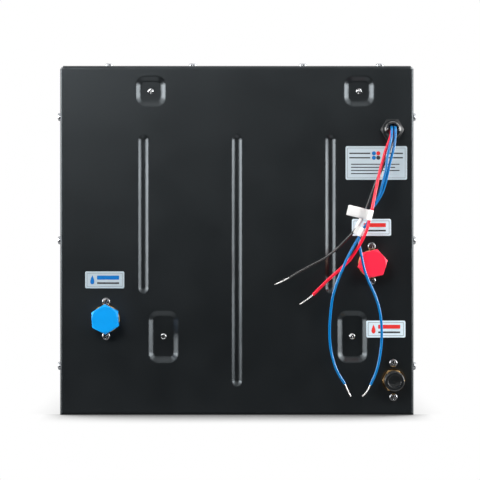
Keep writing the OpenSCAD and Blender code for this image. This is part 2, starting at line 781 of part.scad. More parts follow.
module door_seal() {
    h = door_high - door_low;
    z = (door_high + door_low) / 2;
    color("#141516") place() translate([0, 0, z]) slab(casing_d, casing_d + seal_t) difference() {
        square([door_w + 6, h + 6], center = true);
        square([door_w - 10, h - 10], center = true);
    }
}

module exhaust_grille() {
    y1 = casing_d + door_l;
    w = duct_w;
    h = duct_z1 - duct_z0;
    color("#c9ccce") place() translate([stack_x, 0, (duct_z0 + duct_z1) / 2]) {
        difference() {
            slab(y1, y1 + 2.5) polygon(round_rect(w + 20, h + 20, 8));
            for (i = [0:8]) translate([(i - 4) * 10.8, 0, 0])
                slab(y1 - 1, y1 + 4) polygon(round_rect(5.6, h - 4, 2.6));
            for (i = [-1, 1], k = [-1, 1]) translate([i * (w / 2 + 4), 0, k * (h / 2 + 4)])
                rod_y(y1 + 1.6, y1 + 5, 5);
        }
    }
}

module hinge_rod() {
    color("#c9ccce") place() translate([0, hinge_y, hinge_z]) rod_x(-hinge_x, hinge_x, hinge_d);
}

// Quarter turn latch stored released, with its cam lying sideways
module latch(side) {
    y1 = casing_d + door_l;
    translate([side * latch_x, 0, latch_z]) {
        difference() {
            translate([0, y1, 0]) rotate([-90, 0, 0]) rotate_extrude()
                polygon(concat([[0, 0], [9, 0], [9, latch_head - 1.5]],
                    arc([7.5, latch_head - 1.5], 1.5, 0, 90, 4), [[0, latch_head]]));
            box(-7, 7, y1 + latch_head - 1.8, y1 + latch_head + 1, -0.9, 0.9);
        }
        rod_y(casing_d - s - end_gap - 2.5, y1 + 1, latch_d);
        difference() {
            rod_y(y1 - s - end_gap - 2, y1 - s - end_gap, latch_d + 6);
            rod_y(y1 - 20, y1 + 1, latch_d - 1);
        }
        mirror([side > 0 ? 1 : 0, 0, 0])
            box(-4, 22, casing_d - s - end_gap - 2.5, casing_d - s - end_gap, -4, 4);
    }
}

module left_latch() {
    color("#c9ccce") place() latch(-1);
}

module right_latch() {
    color("#c9ccce") place() latch(1);
}

module upper_bracket() {
    y0 = pocket_depth + s;
    arm_x = stack_w / 2 - 24;
    color("#a9adaf") place() difference() {
        union() {
            box(upper_left_x - 12, upper_right_x + 12, y0, y0 + 1.5,
                upper_pocket_z - 12, upper_pocket_z + 12);
            for (x = [stack_x - arm_x, stack_x + arm_x])
                box(x - 0.75, x + 0.75, y0 + 1, stack_y0, upper_pocket_z - 10, hood_z + hood_h);
            for (x = [stack_x - arm_x, stack_x + arm_x])
                box(x - 12, x + 0.75, stack_y0 - 1.5, stack_y0, upper_pocket_z - 10, hood_z + hood_h);
        }
        for (x = [upper_left_x, upper_right_x])
            translate([x, 0, upper_pocket_z]) rod_y(0, 12, shank_d + 2 * seat_gap);
    }
}

module lower_bracket() {
    y0 = pocket_depth + s;
    color("#a9adaf") place() difference() {
        union() {
            box(lower_left_x - 12, lower_right_x + 12, y0, y0 + 1.5, lower_pocket_z - 20, box_z);
            box(stack_x0 - 2, stack_x1 + 2, y0 + 1, stack_y1, tray_z, box_z);
            for (x = [stack_x0 + 10, stack_x1 - 10])
                translate([x - 0.75, 0, 0]) rotate([90, 0, 90]) linear_extrude(1.5)
                    polygon([[y0 + 1, tray_z - 27], [y0 + 12, tray_z - 27],
                        [stack_y1 - 20, tray_z + 0.5], [y0 + 1, tray_z + 0.5]]);
        }
        for (x = [lower_left_x, lower_right_x])
            translate([x, 0, lower_pocket_z]) rod_y(0, 12, shank_d + 2 * seat_gap);
        box(stack_x + 2, stack_x + 38, fan_y0 - 1, fan_y1 + 1, tray_z - 1, box_z + 1);
    }
}

module burner_box() {
    color("#b4b7b9") place() difference() {
        box(stack_x0, stack_x1, stack_y0, stack_y1, box_z, chamber_z);
        box(stack_x0 + 1, stack_x1 - 1, stack_y0 + 1, stack_y1 - 1, box_z + 1, chamber_z + 1);
        box(stack_x + 4, stack_x + 36, fan_y0 + 2, fan_y1 - 2, box_z - 1, box_z + 2);
        for (i = [0:bar_count - 1])
            translate([stack_x + (i - (bar_count - 1) / 2) * bar_pitch, 0, manifold_z])
                rod_y(stack_y1 - 5, stack_y1 + 5, 6 + 2 * seat_gap);
    }
}

module burner_bars() {
    color("#9aa0a4") place() for (i = [0:bar_count - 1])
        translate([stack_x + (i - (bar_count - 1) / 2) * bar_pitch, 0, 0]) difference() {
            slab(stack_y0 + 1, stack_y1 - 3) polygon([
                [-4, box_z + 12], [4, box_z + 12], [4, box_z + 28], [2.5, box_z + 40], [2.5, box_z + 46],
                [-2.5, box_z + 46], [-2.5, box_z + 40], [-4, box_z + 28]]);
            for (k = [0:8])
                box(-1.5, 1.5, stack_y0 + 10 + 16 * k, stack_y0 + 20 + 16 * k, box_z + 42, box_z + 47);
        }
}

module gas_manifold() {
    x1 = stack_x1 + 5;
    color("#a9adaf") place() difference() {
        union() {
            box(stack_x0 + 4, x1, manifold_y - 8, manifold_y + 8, manifold_z - 8, manifold_z + 8);
            for (i = [0:bar_count - 1])
                translate([stack_x + (i - (bar_count - 1) / 2) * bar_pitch, 0, manifold_z])
                    rod_y(stack_y1 - 3, manifold_y, 6);
        }
        translate([0, manifold_y, manifold_z]) rod_x(stack_x0 + 8, x1 + 1, pipe_d - 2 * pipe_wall);
    }
}

module tube_places() {
    for (i = [0:4]) translate([0, stack_y + (i - 2) * tube_pitch, tube_z]) children();
}

module combustion_chamber() {
    color("#b06a43") place() difference() {
        translate([stack_x, stack_y, chamber_z]) linear_extrude(hood_z - chamber_z)
            polygon(round_rect(stack_w, stack_l, chamber_r));
        translate([stack_x, stack_y, chamber_z - 1]) linear_extrude(hood_z - chamber_z + 2)
            polygon(round_rect(stack_w - 2, stack_l - 2, chamber_r - 1));
        tube_places() rod_x(stack_x0 - 2, stack_x1 + 2, pipe_d + 2 * seat_gap);
        translate([0, stack_y + 2 * tube_pitch, 0]) {
            translate([0, 0, tube_z - tube_drop]) rod_x(stack_x0 - 2, stack_x0 + 2, pipe_d + 2 * seat_gap);
            box(stack_x0 - 2, stack_x0 + 2, -pipe_d / 2 - seat_gap, pipe_d / 2 + seat_gap,
                tube_z - tube_drop, tube_z);
        }
        for (x = [stack_x - 30, stack_x + 30]) translate([x, 0, chamber_z + 6])
            rod_y(stack_y1 - 5, stack_y1 + 5, 6 + 2 * seat_gap);
    }
}

module heat_fins() {
    color("#c07a50") place() difference() {
        for (i = [0:fin_count - 1])
            translate([stack_x + (i / (fin_count - 1) - 0.5) * (stack_w - 14) - fin_t / 2, 0, 0])
                box(0, fin_t, stack_y0 + 1, stack_y1 - 1, tube_z - 17, tube_z + 17);
        tube_places() rod_x(stack_x0 - 2, stack_x1 + 2, pipe_d + 2 * seat_gap);
    }
}

// Cold pipe from the flow sensor that winds round the chamber and climbs to the exchanger
module chamber_coil() {
    zz = coil_z + 2 * elbow_r;
    y4 = stack_y + 2 * tube_pitch;
    color("#b87345") place() pipe([
        [cold_x, sensor_y1, cold_z], [cold_x, coil_y1, cold_z], [cold_x, coil_y1, coil_z],
        [coil_x1, coil_y1, coil_z], [coil_x1, coil_y0, coil_z], [coil_x0, coil_y0, coil_z],
        [coil_x0, stack_y, coil_z], [coil_x0, stack_y, zz], [coil_x0, coil_y1, zz],
        [coil_x1, coil_y1, zz], [coil_x1, coil_y0, zz], [coil_x0, coil_y0, zz],
        [coil_x0, stack_y - 45, zz], [coil_x0, stack_y - 45, zz + 2 * elbow_r],
        [coil_x0, y4, zz + 2 * elbow_r],
        [coil_x0, y4, tube_z - elbow_r]]);
}

module exchanger_tubes() {
    xl = coil_x0;
    y4 = stack_y + 2 * tube_pitch;
    p = tube_pitch;
    color("#b87345") place() difference() {
        union() {
            rod_along([[xl, y4, tube_z - elbow_r], [xl, y4, tube_z], [turn_x1, y4, tube_z]], pipe_d, elbow_r);
            for (i = [0:3]) tube_turn(i, pipe_d);
            for (i = [1:3]) tube_run(i, pipe_d);
            straight([turn_x0, stack_y - 2 * p, tube_z], [hot_x - elbow_r, stack_y - 2 * p, tube_z], pipe_d);
        }
        union() {
            rod_along([[xl, y4, tube_z - elbow_r], [xl, y4, tube_z], [turn_x1, y4, tube_z]],
                pipe_d - 2 * pipe_wall, elbow_r);
            for (i = [0:3]) tube_turn(i, pipe_d - 2 * pipe_wall);
            for (i = [1:3]) tube_run(i, pipe_d - 2 * pipe_wall);
            straight([turn_x0, stack_y - 2 * p, tube_z], [hot_x - elbow_r, stack_y - 2 * p, tube_z],
                pipe_d - 2 * pipe_wall);
        }
    }
}

// Half turn that joins two neighbouring tubes, on the right for even numbers
module tube_turn(i, d) {
    x = i % 2 == 0 ? turn_x1 : turn_x0;
    translate([x, stack_y + (1.5 - i) * tube_pitch, tube_z]) rotate([0, 0, i % 2 == 0 ? -90 : 90])
        rotate_extrude(angle = 180) translate([tube_pitch / 2, 0]) circle(d = d);
}

module tube_run(i, d) {
    y = stack_y + (2 - i) * tube_pitch;
    straight([turn_x0, y, tube_z], [turn_x1, y, tube_z], d);
}

module hot_pipe() {
    y0 = stack_y - 2 * tube_pitch;
    color("#b87345") place() pipe([
        [hot_x - elbow_r, y0, tube_z], [hot_x, y0, tube_z], [hot_x, y0, hot_z], [hot_x, sensor_y0, hot_z]]);
}

module exhaust_hood() {
    x0 = stack_x - duct_w / 2;
    x1 = stack_x + duct_w / 2;
    color("#b4b7b9") place() difference() {
        union() {
            box(stack_x0, stack_x1, stack_y0, stack_y1, hood_z, hood_z + hood_h);
            box(x0, x1, stack_y1 - 2, casing_d + 6, duct_z0, duct_z1);
        }
        box(stack_x0 + 1, stack_x1 - 1, stack_y0 + 1, stack_y1 - 1, hood_z - 1, hood_z + hood_h - 1);
        box(x0 + 1, x1 - 1, stack_y1 - 5, casing_d + 10, duct_z0 + 1, duct_z1 - 1);
    }
}

// Snail shaped outline of the fan, grown by g
function snail(g) = [for (i = [0:24])
    let(a = 90 - 13.75 * i, r = 35 - 8 * i / 24 + g) [r * cos(a), r * sin(a)]];

module fan_housing() {
    color("#6d7276") place() translate([stack_x, 0, fan_z]) difference() {
        slab(fan_y0, fan_y1) union() {
            rotate(-90) polygon(snail(1.5));
            translate([4, 0]) square([32.5, box_z - fan_z]);
        }
        slab(fan_y0 + 1.5, fan_y1 - 1.5) union() {
            rotate(-90) polygon(snail(0));
            translate([5.5, 0]) square([29.5, box_z - fan_z + 1]);
        }
        rod_y(fan_y0 - 1, fan_y0 + 3, 36);
        rod_y(fan_y1 - 3, fan_y1 + 1, 14);
    }
}

module fan_impeller() {
    r = fan_d / 2;
    color("#8f9498") place() translate([stack_x, 0, fan_z]) {
        rod_y(fan_y1 - 6, fan_y1 - 4, fan_d);
        rod_y(fan_y0 + 22, fan_y1 + 26, 6);
        rod_y(fan_y1 - 16, fan_y1 - 5, 12);
        difference() {
            rod_y(fan_y0 + 4, fan_y0 + 6, fan_d);
            rod_y(fan_y0 + 3, fan_y0 + 7, fan_d - 16);
        }
        for (i = [0:blade_count - 1])
            rotate([0, 360 / blade_count * i, 0]) translate([r - 4, 0, 0]) rotate([0, 35, 0])
            box(-3.2, 3.2, fan_y0 + 5, fan_y1 - 5, -0.4, 0.4);
    }
}

module fan_motor() {
    color("#3a3f43") place() translate([stack_x, 0, fan_z]) difference() {
        union() {
            rod_y(fan_y1, fan_y1 + 2, 56);
            rod_y(fan_y1 + 1, fan_y1 + 34, 44);
        }
        rod_y(fan_y1 - 1, fan_y1 + 28, 6 + 2 * run_gap);
    }
}

module flow_sensor() {
    color("#3b3f44") place() translate([cold_x, 0, cold_z]) {
        difference() {
            rod_y(sensor_y0, sensor_y1, 30);
            rod_y(sensor_y0 - 1, sensor_y1 + 1, 11);
            rod_y(sensor_y0 + 8, sensor_y1 - 8, 24);
        }
        for (y = [sensor_y0 + 12, sensor_y1 - 15]) difference() {
            box(-12.2, 12.2, y, y + 3, -3, 3);
            rod_y(y - 1, y + 4, 3 + 2 * run_gap);
        }
        box(-8, 8, sensor_y0 + 15, sensor_y1 - 15, 14, 22);
    }
}

module flow_rotor() {
    color("#d9dcdd") place() translate([cold_x, 0, cold_z]) {
        rod_y(sensor_y0 + 12, sensor_y1 - 12, 3);
        rod_y(sensor_y0 + 17, sensor_y1 - 17, 8);
        for (i = [0:5])
            rotate([0, 60 * i, 0]) translate([0, (sensor_y0 + sensor_y1) / 2, 0]) rotate([25, 0, 0])
            box(2, 10.6, -6, 6, -0.5, 0.5);
    }
}

module gas_pipes() {
    color("#b87345") place() {
        pipe([[gas_x, 20, gas_z], [gas_x, valve_y0, gas_z]]);
        pipe([[valve_x, manifold_y, 56], [valve_x, manifold_y, manifold_z],
            [stack_x1 + 5, manifold_y, manifold_z]]);
    }
}

module gas_valve() {
    x0 = valve_x - 17;
    color("#9fa4a7") place() difference() {
        union() {
            box(x0, valve_x + 17, valve_y0, valve_y1, 14, 56);
            box(valve_x - 10, valve_x + 10, valve_y0 + 20, valve_y1 - 20, 2 * s, 15);
        }
        translate([gas_x, 0, gas_z]) rod_y(valve_y0 - 1, valve_y0 + 20, pipe_d - 2 * pipe_wall);
        translate([valve_x, manifold_y, 45]) cylinder(d = pipe_d - 2 * pipe_wall, h = 20);
    }
}

module valve_coil() {
    x1 = valve_x - 17;
    color("#2f5b3a") place() translate([0, 200, 35]) difference() {
        union() {
            rod_x(coil_end, x1, 24);
            rod_x(coil_end, coil_end + 3, 28);
            rod_x(x1 - 3, x1, 28);
        }
        rod_x(coil_end + 3, x1 + 1, plunger_d + 2 * run_gap);
    }
}

module valve_plunger() {
    x1 = valve_x - 17;
    color("#c9ccce") place() translate([0, 200, 35]) rod_x(coil_end + 7, x1 - end_gap, plunger_d);
}

module control_box() {
    color("#2b2f33") place() difference() {
        union() {
            box(ctrl_x, ctrl_x + ctrl_w, ctrl_y0, ctrl_y1, ctrl_z0, ctrl_z1);
            box(ctrl_x + 14, ctrl_x + 42, ctrl_y1 - 1, ctrl_y1 + 5, ctrl_z1 - 50, ctrl_z1 - 20);
        }
        box(ctrl_x + 2, ctrl_x + ctrl_w + 1, ctrl_y0 + 2, ctrl_y1 - 2, ctrl_z0 + 2, ctrl_z1 - 2);
        translate([ctrl_x + 28, ctrl_y1 + 2, ctrl_z1 - 35]) box(-10, 10, -6, 4, -12, 12);
        translate([ctrl_x + 28, ctrl_y1 + 2, ctrl_z1 - 35]) rod_x(-12, 12, 3 + 2 * run_gap);
    }
}

module control_lid() {
    color("#44494e") place() difference() {
        box(ctrl_x + ctrl_w, ctrl_x + ctrl_w + 2, ctrl_y0, ctrl_y1, ctrl_z0, ctrl_z1);
        for (i = [0:5])
            box(ctrl_x + ctrl_w - 1, ctrl_x + ctrl_w + 3, ctrl_y0 + 30 + 14 * i, ctrl_y0 + 34 + 14 * i,
            ctrl_z0 + 25, ctrl_z0 + 85);
    }
}

module power_rocker() {
    color("#b8202e") place() translate([ctrl_x + 28, ctrl_y1 + 2, ctrl_z1 - 35]) {
        rotate([90, 0, 90]) linear_extrude(19, center = true)
            polygon([[-2.6, -7], [3, -10.6], [6.2, -10.2], [4.4, 0], [6.2, 10.2], [3, 10.6], [-2.6, 7]]);
        rod_x(-11.6, 11.6, 3);
    }
}

module relief_valve() {
    color("#b98a52") place() translate([cold_x, coil_y1, tee_z]) difference() {
        union() {
            box(-11, 11, -11, 11, -11, 11);
            rod_y(10, 20, 16);
            translate([0, 18, 0]) rotate([-90, 0, 0]) cylinder(d = 24, h = 10, $fn = 6);
            rod_y(27, 50, 18);
            for (k = [-1, 1]) box(k * 5 - 1.5, k * 5 + 1.5, 48, 60, -4, 4);
        }
        translate([0, 0, -20]) cylinder(d = pipe_d + 2 * seat_gap, h = 40);
        translate([0, 55, 0]) rod_x(-12, 12, 3 + 2 * run_gap);
    }
}

module relief_lever() {
    color("#c9ccce") place() translate([cold_x, coil_y1 + 55, tee_z]) {
        rod_x(-7, 7, 3);
        rod_x(-3.2, 3.2, 7);
        box(-3.2, 3.2, 0, 3, 0, 14);
        box(-6, 6, 0, 3, 12, 42);
    }
}

module electrodes() {
    color("#e6e2d8") place() for (x = [stack_x - 30, stack_x + 30]) translate([x, 0, chamber_z + 6]) {
        rod_y(stack_y1 - 14, stack_y1 + 14, 6);
        rod_y(stack_y1, stack_y1 + 3, 11);
        rod_y(stack_y1 - 40, stack_y1 + 20, 2);
    }
}

rear_panel();
casing_shell();
top_panel();
front_frame();
side_brackets();
casing_screws();
pocket_screws();
port_screws();
gland_body();
gland_nut();
gland_seal();
gland_locknut();
cold_fitting();
cold_washer();
cold_cap();
hot_fitting();
hot_washer();
hot_cap();
gas_fitting();
gas_cap();
port_labels();
wiring_label();
red_wire();
black_wire();
left_blue_wire();
right_blue_wire();
bare_ends();
wire_tags();
door_panel();
door_seal();
exhaust_grille();
hinge_rod();
left_latch();
right_latch();
upper_bracket();
lower_bracket();
burner_box();
burner_bars();
gas_manifold();
combustion_chamber();
chamber_coil();
heat_fins();
exchanger_tubes();
hot_pipe();
exhaust_hood();
fan_housing();
fan_impeller();
fan_motor();
flow_sensor();
flow_rotor();
gas_pipes();
gas_valve();
valve_coil();
valve_plunger();
control_box();
control_lid();
power_rocker();
relief_valve();
relief_lever();
electrodes();
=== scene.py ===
import json
import math

import bmesh
import bpy
from mathutils import Matrix, Vector


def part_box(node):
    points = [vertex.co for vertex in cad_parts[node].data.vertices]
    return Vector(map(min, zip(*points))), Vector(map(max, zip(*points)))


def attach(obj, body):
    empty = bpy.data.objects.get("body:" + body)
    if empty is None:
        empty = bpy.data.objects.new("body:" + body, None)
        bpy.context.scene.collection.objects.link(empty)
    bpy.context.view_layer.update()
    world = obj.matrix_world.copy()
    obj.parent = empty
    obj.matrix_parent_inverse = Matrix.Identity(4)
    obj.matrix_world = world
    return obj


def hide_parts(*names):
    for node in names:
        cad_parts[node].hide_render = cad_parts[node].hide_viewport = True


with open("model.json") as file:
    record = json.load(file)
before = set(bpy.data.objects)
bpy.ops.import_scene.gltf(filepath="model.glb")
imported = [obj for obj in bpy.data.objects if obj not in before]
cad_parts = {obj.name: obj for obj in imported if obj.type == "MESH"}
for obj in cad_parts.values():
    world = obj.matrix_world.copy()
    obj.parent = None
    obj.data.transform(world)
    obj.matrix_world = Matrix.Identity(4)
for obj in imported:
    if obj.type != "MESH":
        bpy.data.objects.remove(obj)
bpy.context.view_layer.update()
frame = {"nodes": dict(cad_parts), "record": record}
nodes = frame["nodes"]
MM = 0.001
# Outer face of the rear panel, which the photograph looks at
REAR_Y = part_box("rear_panel")[0].y


# Helpers for meshes

def at(x, out, z):
    """Point in front of the rear panel, from millimetres."""
    return Vector((x * MM, REAR_Y - out * MM, z * MM))


def new_piece(name, bm, material, body, smooth=True):
    """Turns a bmesh into a piece that rides on a body."""
    bmesh.ops.recalc_face_normals(bm, faces=bm.faces)
    mesh = bpy.data.meshes.new(name)
    bm.to_mesh(mesh)
    bm.free()
    mesh.materials.append(material)
    if smooth:
        mesh.shade_smooth()
    piece = bpy.data.objects.new(name, mesh)
    bpy.context.scene.collection.objects.link(piece)
    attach(piece, body)
    return piece


def smooth_route(points, steps):
    """Points of a smooth line through the given ones."""
    line = []
    ends = [2 * points[0] - points[1]] + list(points) + [2 * points[-1] - points[-2]]
    for i in range(1, len(ends) - 2):
        a, b, c, d = ends[i - 1:i + 3]
        for k in range(steps):
            t = k / steps
            line.append(0.5 * (2 * b + (c - a) * t + (2 * a - 5 * b + 4 * c - d) * t * t
                               + (3 * b - a - 3 * c + d) * t ** 3))
    line.append(points[-1].copy())
    return line


def line_length(points):
    return sum((b - a).length for a, b in zip(points, points[1:]))


def frames_along(points):
    """Two directions across a line at each of its points, without twist."""
    tangents = []
    for i in range(len(points)):
        ahead = points[min(i + 1, len(points) - 1)]
        behind = points[max(i - 1, 0)]
        tangents.append((ahead - behind).normalized())
    side = tangents[0].orthogonal().normalized()
    rows = []
    for tangent in tangents:
        side = (side - tangent * side.dot(tangent)).normalized()
        rows.append((side, tangent.cross(side)))
    return rows


def add_tube(bm, points, radius, sides=8):
    """Round tube with closed ends along a line."""
    rings = []
    for point, (u, v) in zip(points, frames_along(points)):
        ring = []
        for k in range(sides):
            angle = 2 * math.pi * k / sides
            ring.append(bm.verts.new(point + radius * (u * math.cos(angle) + v * math.sin(angle))))
        rings.append(ring)
    for a, b in zip(rings, rings[1:]):
        for k in range(sides):
            bm.faces.new((a[k], a[(k + 1) % sides], b[(k + 1) % sides], b[k]))
    bm.faces.new(rings[0])
    bm.faces.new(rings[-1])


def round_rect(width, height, radius, steps=6):
    """Outline of a rectangle with round corners, in millimetres."""
    outline = []
    for corner, (sx, sz) in enumerate(((1, 1), (-1, 1), (-1, -1), (1, -1))):
        for k in range(steps + 1):
            angle = math.pi / 2 * (corner + k / steps)
            outline.append((sx * (width / 2 - radius) + radius * math.cos(angle),
                            sz * (height / 2 - radius) + radius * math.sin(angle)))
    return outline


def add_loft(bm, loops, close_first=True, close_last=True):
    """Skin over loops of points that have the same count."""
    rings = [[bm.verts.new(p) for p in loop] for loop in loops]
    count = len(rings[0])
    for a, b in zip(rings, rings[1:]):
        for k in range(count):
            bm.faces.new((a[k], a[(k + 1) % count], b[(k + 1) % count], b[k]))
    if close_first:
        bm.faces.new(rings[0])
    if close_last:
        bm.faces.new(rings[-1])


# Helpers for materials

# Sockets of a mix node that mixes colours, and of one that mixes numbers
MIX_FIRST, MIX_SECOND, MIX_RESULT = 6, 7, 2
NUMBER_FIRST, NUMBER_SECOND, NUMBER_RESULT = 2, 3, 0
# Sockets of a map range node, in the order in which they are given here
RANGE_SOCKETS = ("From Min", "From Max", "To Min", "To Max")
# Radius of a softened edge in general and on the coated pressings, in metres
SOFT_EDGE = 0.0004
PRESSED_EDGE = 0.0017


class Finish:
    """One procedural material round a Principled shader."""

    def __init__(self, name):
        self.material = bpy.data.materials.new(name)
        self.material.use_nodes = True
        self.tree = self.material.node_tree
        self.shader = self.tree.nodes["Principled BSDF"]
        self.place = self.tree.nodes.new("ShaderNodeTexCoord").outputs["Object"]

    def add(self, kind, **inputs):
        node = self.tree.nodes.new(kind)
        for key, value in inputs.items():
            socket = node.inputs[key.replace("_", " ")]
            if isinstance(value, bpy.types.NodeSocket):
                self.tree.links.new(value, socket)
            else:
                socket.default_value = value
        return node

    def link(self, source, target):
        self.tree.links.new(source, target)

    def stretched(self, scale):
        return self.add("ShaderNodeMapping", Vector=self.place, Scale=scale).outputs["Vector"]

    def noise(self, scale, detail, place=None):
        node = self.add("ShaderNodeTexNoise", Vector=place or self.place, Scale=scale, Detail=detail)
        return node.outputs["Fac"]

    def cells(self, scale):
        return self.add("ShaderNodeTexVoronoi", Vector=self.place, Scale=scale).outputs["Color"]

    def spread(self, source, low, high, start=0.3, end=0.7):
        """Value that goes from low to high while the source goes from start to end."""
        node = self.add("ShaderNodeMapRange", Value=source)
        for key, value in zip(RANGE_SOCKETS, (start, end, low, high)):
            node.inputs[key].default_value = value
        return node.outputs["Result"]

    def math(self, operation, first, second):
        node = self.tree.nodes.new("ShaderNodeMath")
        node.operation = operation
        self.link(first, node.inputs[0])
        self.link(second, node.inputs[1])
        return node.outputs["Value"]

    def mix(self, share, first, second):
        """First colour where the share is 0, second where it is 1."""
        node = self.add("ShaderNodeMix", Factor=share)
        node.data_type = "RGBA"
        self.link(first, node.inputs[MIX_FIRST])
        if isinstance(second, bpy.types.NodeSocket):
            self.link(second, node.inputs[MIX_SECOND])
        else:
            node.inputs[MIX_SECOND].default_value = (*second, 1)
        return node.outputs[MIX_RESULT]

    def colours(self, source, *stops):
        node = self.add("ShaderNodeValToRGB", Fac=source)
        ramp = node.color_ramp.elements
        while len(ramp) < len(stops):
            ramp.new(0.5)
        for element, (place, colour) in zip(ramp, stops):
            element.position = place
            element.color = (*colour, 1)
        return node.outputs["Color"]

    def soft_edge(self, radius):
        return self.add("ShaderNodeBevel", Radius=radius).outputs["Normal"]

    def edge_wear_and_highlight(self, base, worn_and_lit, soft, amount):
        """Base colour that turns to the paler one in patches along sharp edges, as wear and as a painted
        highlight.
        """
        flat = self.tree.nodes.new("ShaderNodeNewGeometry").outputs["Normal"]
        turn = self.tree.nodes.new("ShaderNodeVectorMath")
        turn.operation = "DOT_PRODUCT"
        self.link(soft, turn.inputs[0])
        self.link(flat, turn.inputs[1])
        # Wear along edges, which also paints a highlight there
        on_edge = self.spread(turn.outputs["Value"], amount, 0.0, 0.8, 0.99)
        patches = self.spread(self.noise(140.0, 4.0), 0.45, 1.0, 0.35, 0.6)
        return self.mix(self.math("MULTIPLY", on_edge, patches), base, worn_and_lit)

    def bump(self, source, height, strength=1.0, normal=None):
        node = self.add("ShaderNodeBump", Height=source, Strength=strength, Distance=height)
        if normal:
            self.link(normal, node.inputs["Normal"])
        return node.outputs["Normal"]

    def set(self, **inputs):
        for key, value in inputs.items():
            socket = self.shader.inputs[key.replace("_", " ")]
            if isinstance(value, bpy.types.NodeSocket):
                self.link(value, socket)
            else:
                socket.default_value = value
        return self.material


def shade(colour, factor):
    return tuple(min(c * factor, 1.0) for c in colour)


def varied(name, colour, spread, patch, rough, grain, height, metal=0.0, **more):
    """Finish with patches of light and dark, uneven gloss, a fine grain and soft edges, paler in patches
    from slight wear and from a painted highlight.
    """
    f = Finish(name)
    dark, pale = shade(colour, 1 - spread), shade(colour, 1 + spread)
    base = f.colours(f.noise(patch, 5.0), (0.28, dark), (0.72, pale))
    gloss = f.spread(f.noise(patch * 2.7, 4.0), *rough)
    soft = f.soft_edge(SOFT_EDGE)
    base = f.edge_wear_and_highlight(base, shade(colour, 1.3), soft, 0.8)
    normal = f.bump(f.noise(grain, 2.0), height, 1.0, soft)
    return f.set(Base_Color=base, Roughness=gloss, Normal=normal, Metallic=metal, **more)


def powder_coat(name, rough, specular):
    """Black powder coat: orange peel, uneven gloss and edges turned grey by wear and by a painted
    highlight.
    """
    f = Finish(name)
    dark, pale = (0.0024, 0.0031, 0.0037), (0.0032, 0.0041, 0.0047)
    base = f.colours(f.noise(9.0, 6.0), (0.3, dark), (0.7, pale))
    gloss = f.spread(f.noise(26.0, 5.0), *rough)
    soft = f.soft_edge(PRESSED_EDGE)
    base = f.edge_wear_and_highlight(base, (0.03, 0.033, 0.036), soft, 0.7)
    peel = f.bump(f.noise(620.0, 2.0), 0.00003, 0.6, soft)
    normal = f.bump(f.noise(2600.0, 1.0), 0.00001, 0.5, peel)
    return f.set(Base_Color=base, Roughness=gloss, Normal=normal, Specular_IOR_Level=specular,
                 Specular_Tint=(0.84, 0.94, 1.0, 1.0))


def galvanised():
    """Zinc coated sheet with its crystal pattern, duller at a low angle than bare metal is."""
    f = Finish("galvanised_sheet")
    tone = f.add("ShaderNodeRGBToBW", Color=f.cells(150.0)).outputs["Val"]
    base = f.colours(tone, (0.15, (0.36, 0.375, 0.39)), (0.85, (0.45, 0.465, 0.48)))
    gloss = f.spread(tone, 0.58, 0.7, 0.1, 0.9)
    normal = f.bump(f.noise(420.0, 3.0), 0.00003, 0.5, f.soft_edge(SOFT_EDGE))
    return f.set(Base_Color=base, Roughness=gloss, Normal=normal, Metallic=1.0,
                 Specular_Tint=(0.5, 0.5, 0.5, 1.0))


def brushed_foil(name, level):
    """Silver label stock with faint brush lines, paler or darker by its level."""
    f = Finish(name)
    lines = f.noise(60.0, 6.0, f.stretched((1.0, 1.0, 40.0)))
    dark, pale = (0.46, 0.55, 0.6), (0.53, 0.62, 0.67)
    base = f.colours(lines, (0.3, shade(dark, level)), (0.7, shade(pale, level)))
    gloss = f.spread(lines, 0.34, 0.46)
    return f.set(Base_Color=base, Roughness=gloss, Normal=f.bump(lines, 0.00001, 0.4), Metallic=0.25)


def paper():
    """White paper of the wire tags, with fibres and soft creases."""
    f = Finish("tag_paper")
    base = f.colours(f.noise(180.0, 6.0), (0.3, (0.84, 0.84, 0.83)), (0.7, (0.9, 0.9, 0.89)))
    fibres = f.bump(f.noise(1800.0, 4.0), 0.00003, 0.5)
    normal = f.bump(f.noise(120.0, 2.0), 0.00025, 0.4, fibres)
    return f.set(Base_Color=base, Roughness=0.8, Normal=normal)


def port_brass():
    """Bright brass outside the rear panel, and a dark colour behind it that paints the shade in the gap
    round the fitting.
    """
    f = Finish("port_brass")
    bright = f.colours(f.noise(90.0, 5.0), (0.28, (0.66, 0.42, 0.18)), (0.72, (0.86, 0.57, 0.26)))
    # Painted shade: dark brass colour for the part behind the panel, seen through the gap round the fitting
    painted_shade = f.colours(f.noise(60.0, 5.0), (0.3, (0.05, 0.034, 0.018)), (0.7, (0.09, 0.06, 0.03)))
    axes = f.add("ShaderNodeSeparateXYZ", Vector=f.place)
    behind = f.spread(axes.outputs["Y"], 0.0, 1.0, REAR_Y - 0.0012, REAR_Y + 0.0004)
    base = f.mix(behind, bright, painted_shade)
    gloss = f.spread(f.noise(240.0, 4.0), 0.38, 0.5)
    normal = f.bump(f.noise(900.0, 2.0), 0.00002, 1.0, f.soft_edge(SOFT_EDGE))
    return f.set(Base_Color=base, Roughness=gloss, Normal=normal, Metallic=1.0)


BLACK_COAT = powder_coat("black_powder_coat", (0.3, 0.35), 0.5)
DOOR_COAT = powder_coat("matt_powder_coat", (0.7, 0.8), 0.2)
ZINC = galvanised()
FOIL = brushed_foil("label_foil", 1.05)
PALE_FOIL = brushed_foil("pale_label_foil", 1.42)
GREY_FOIL = brushed_foil("grey_label_foil", 0.92)
PAPER = paper()
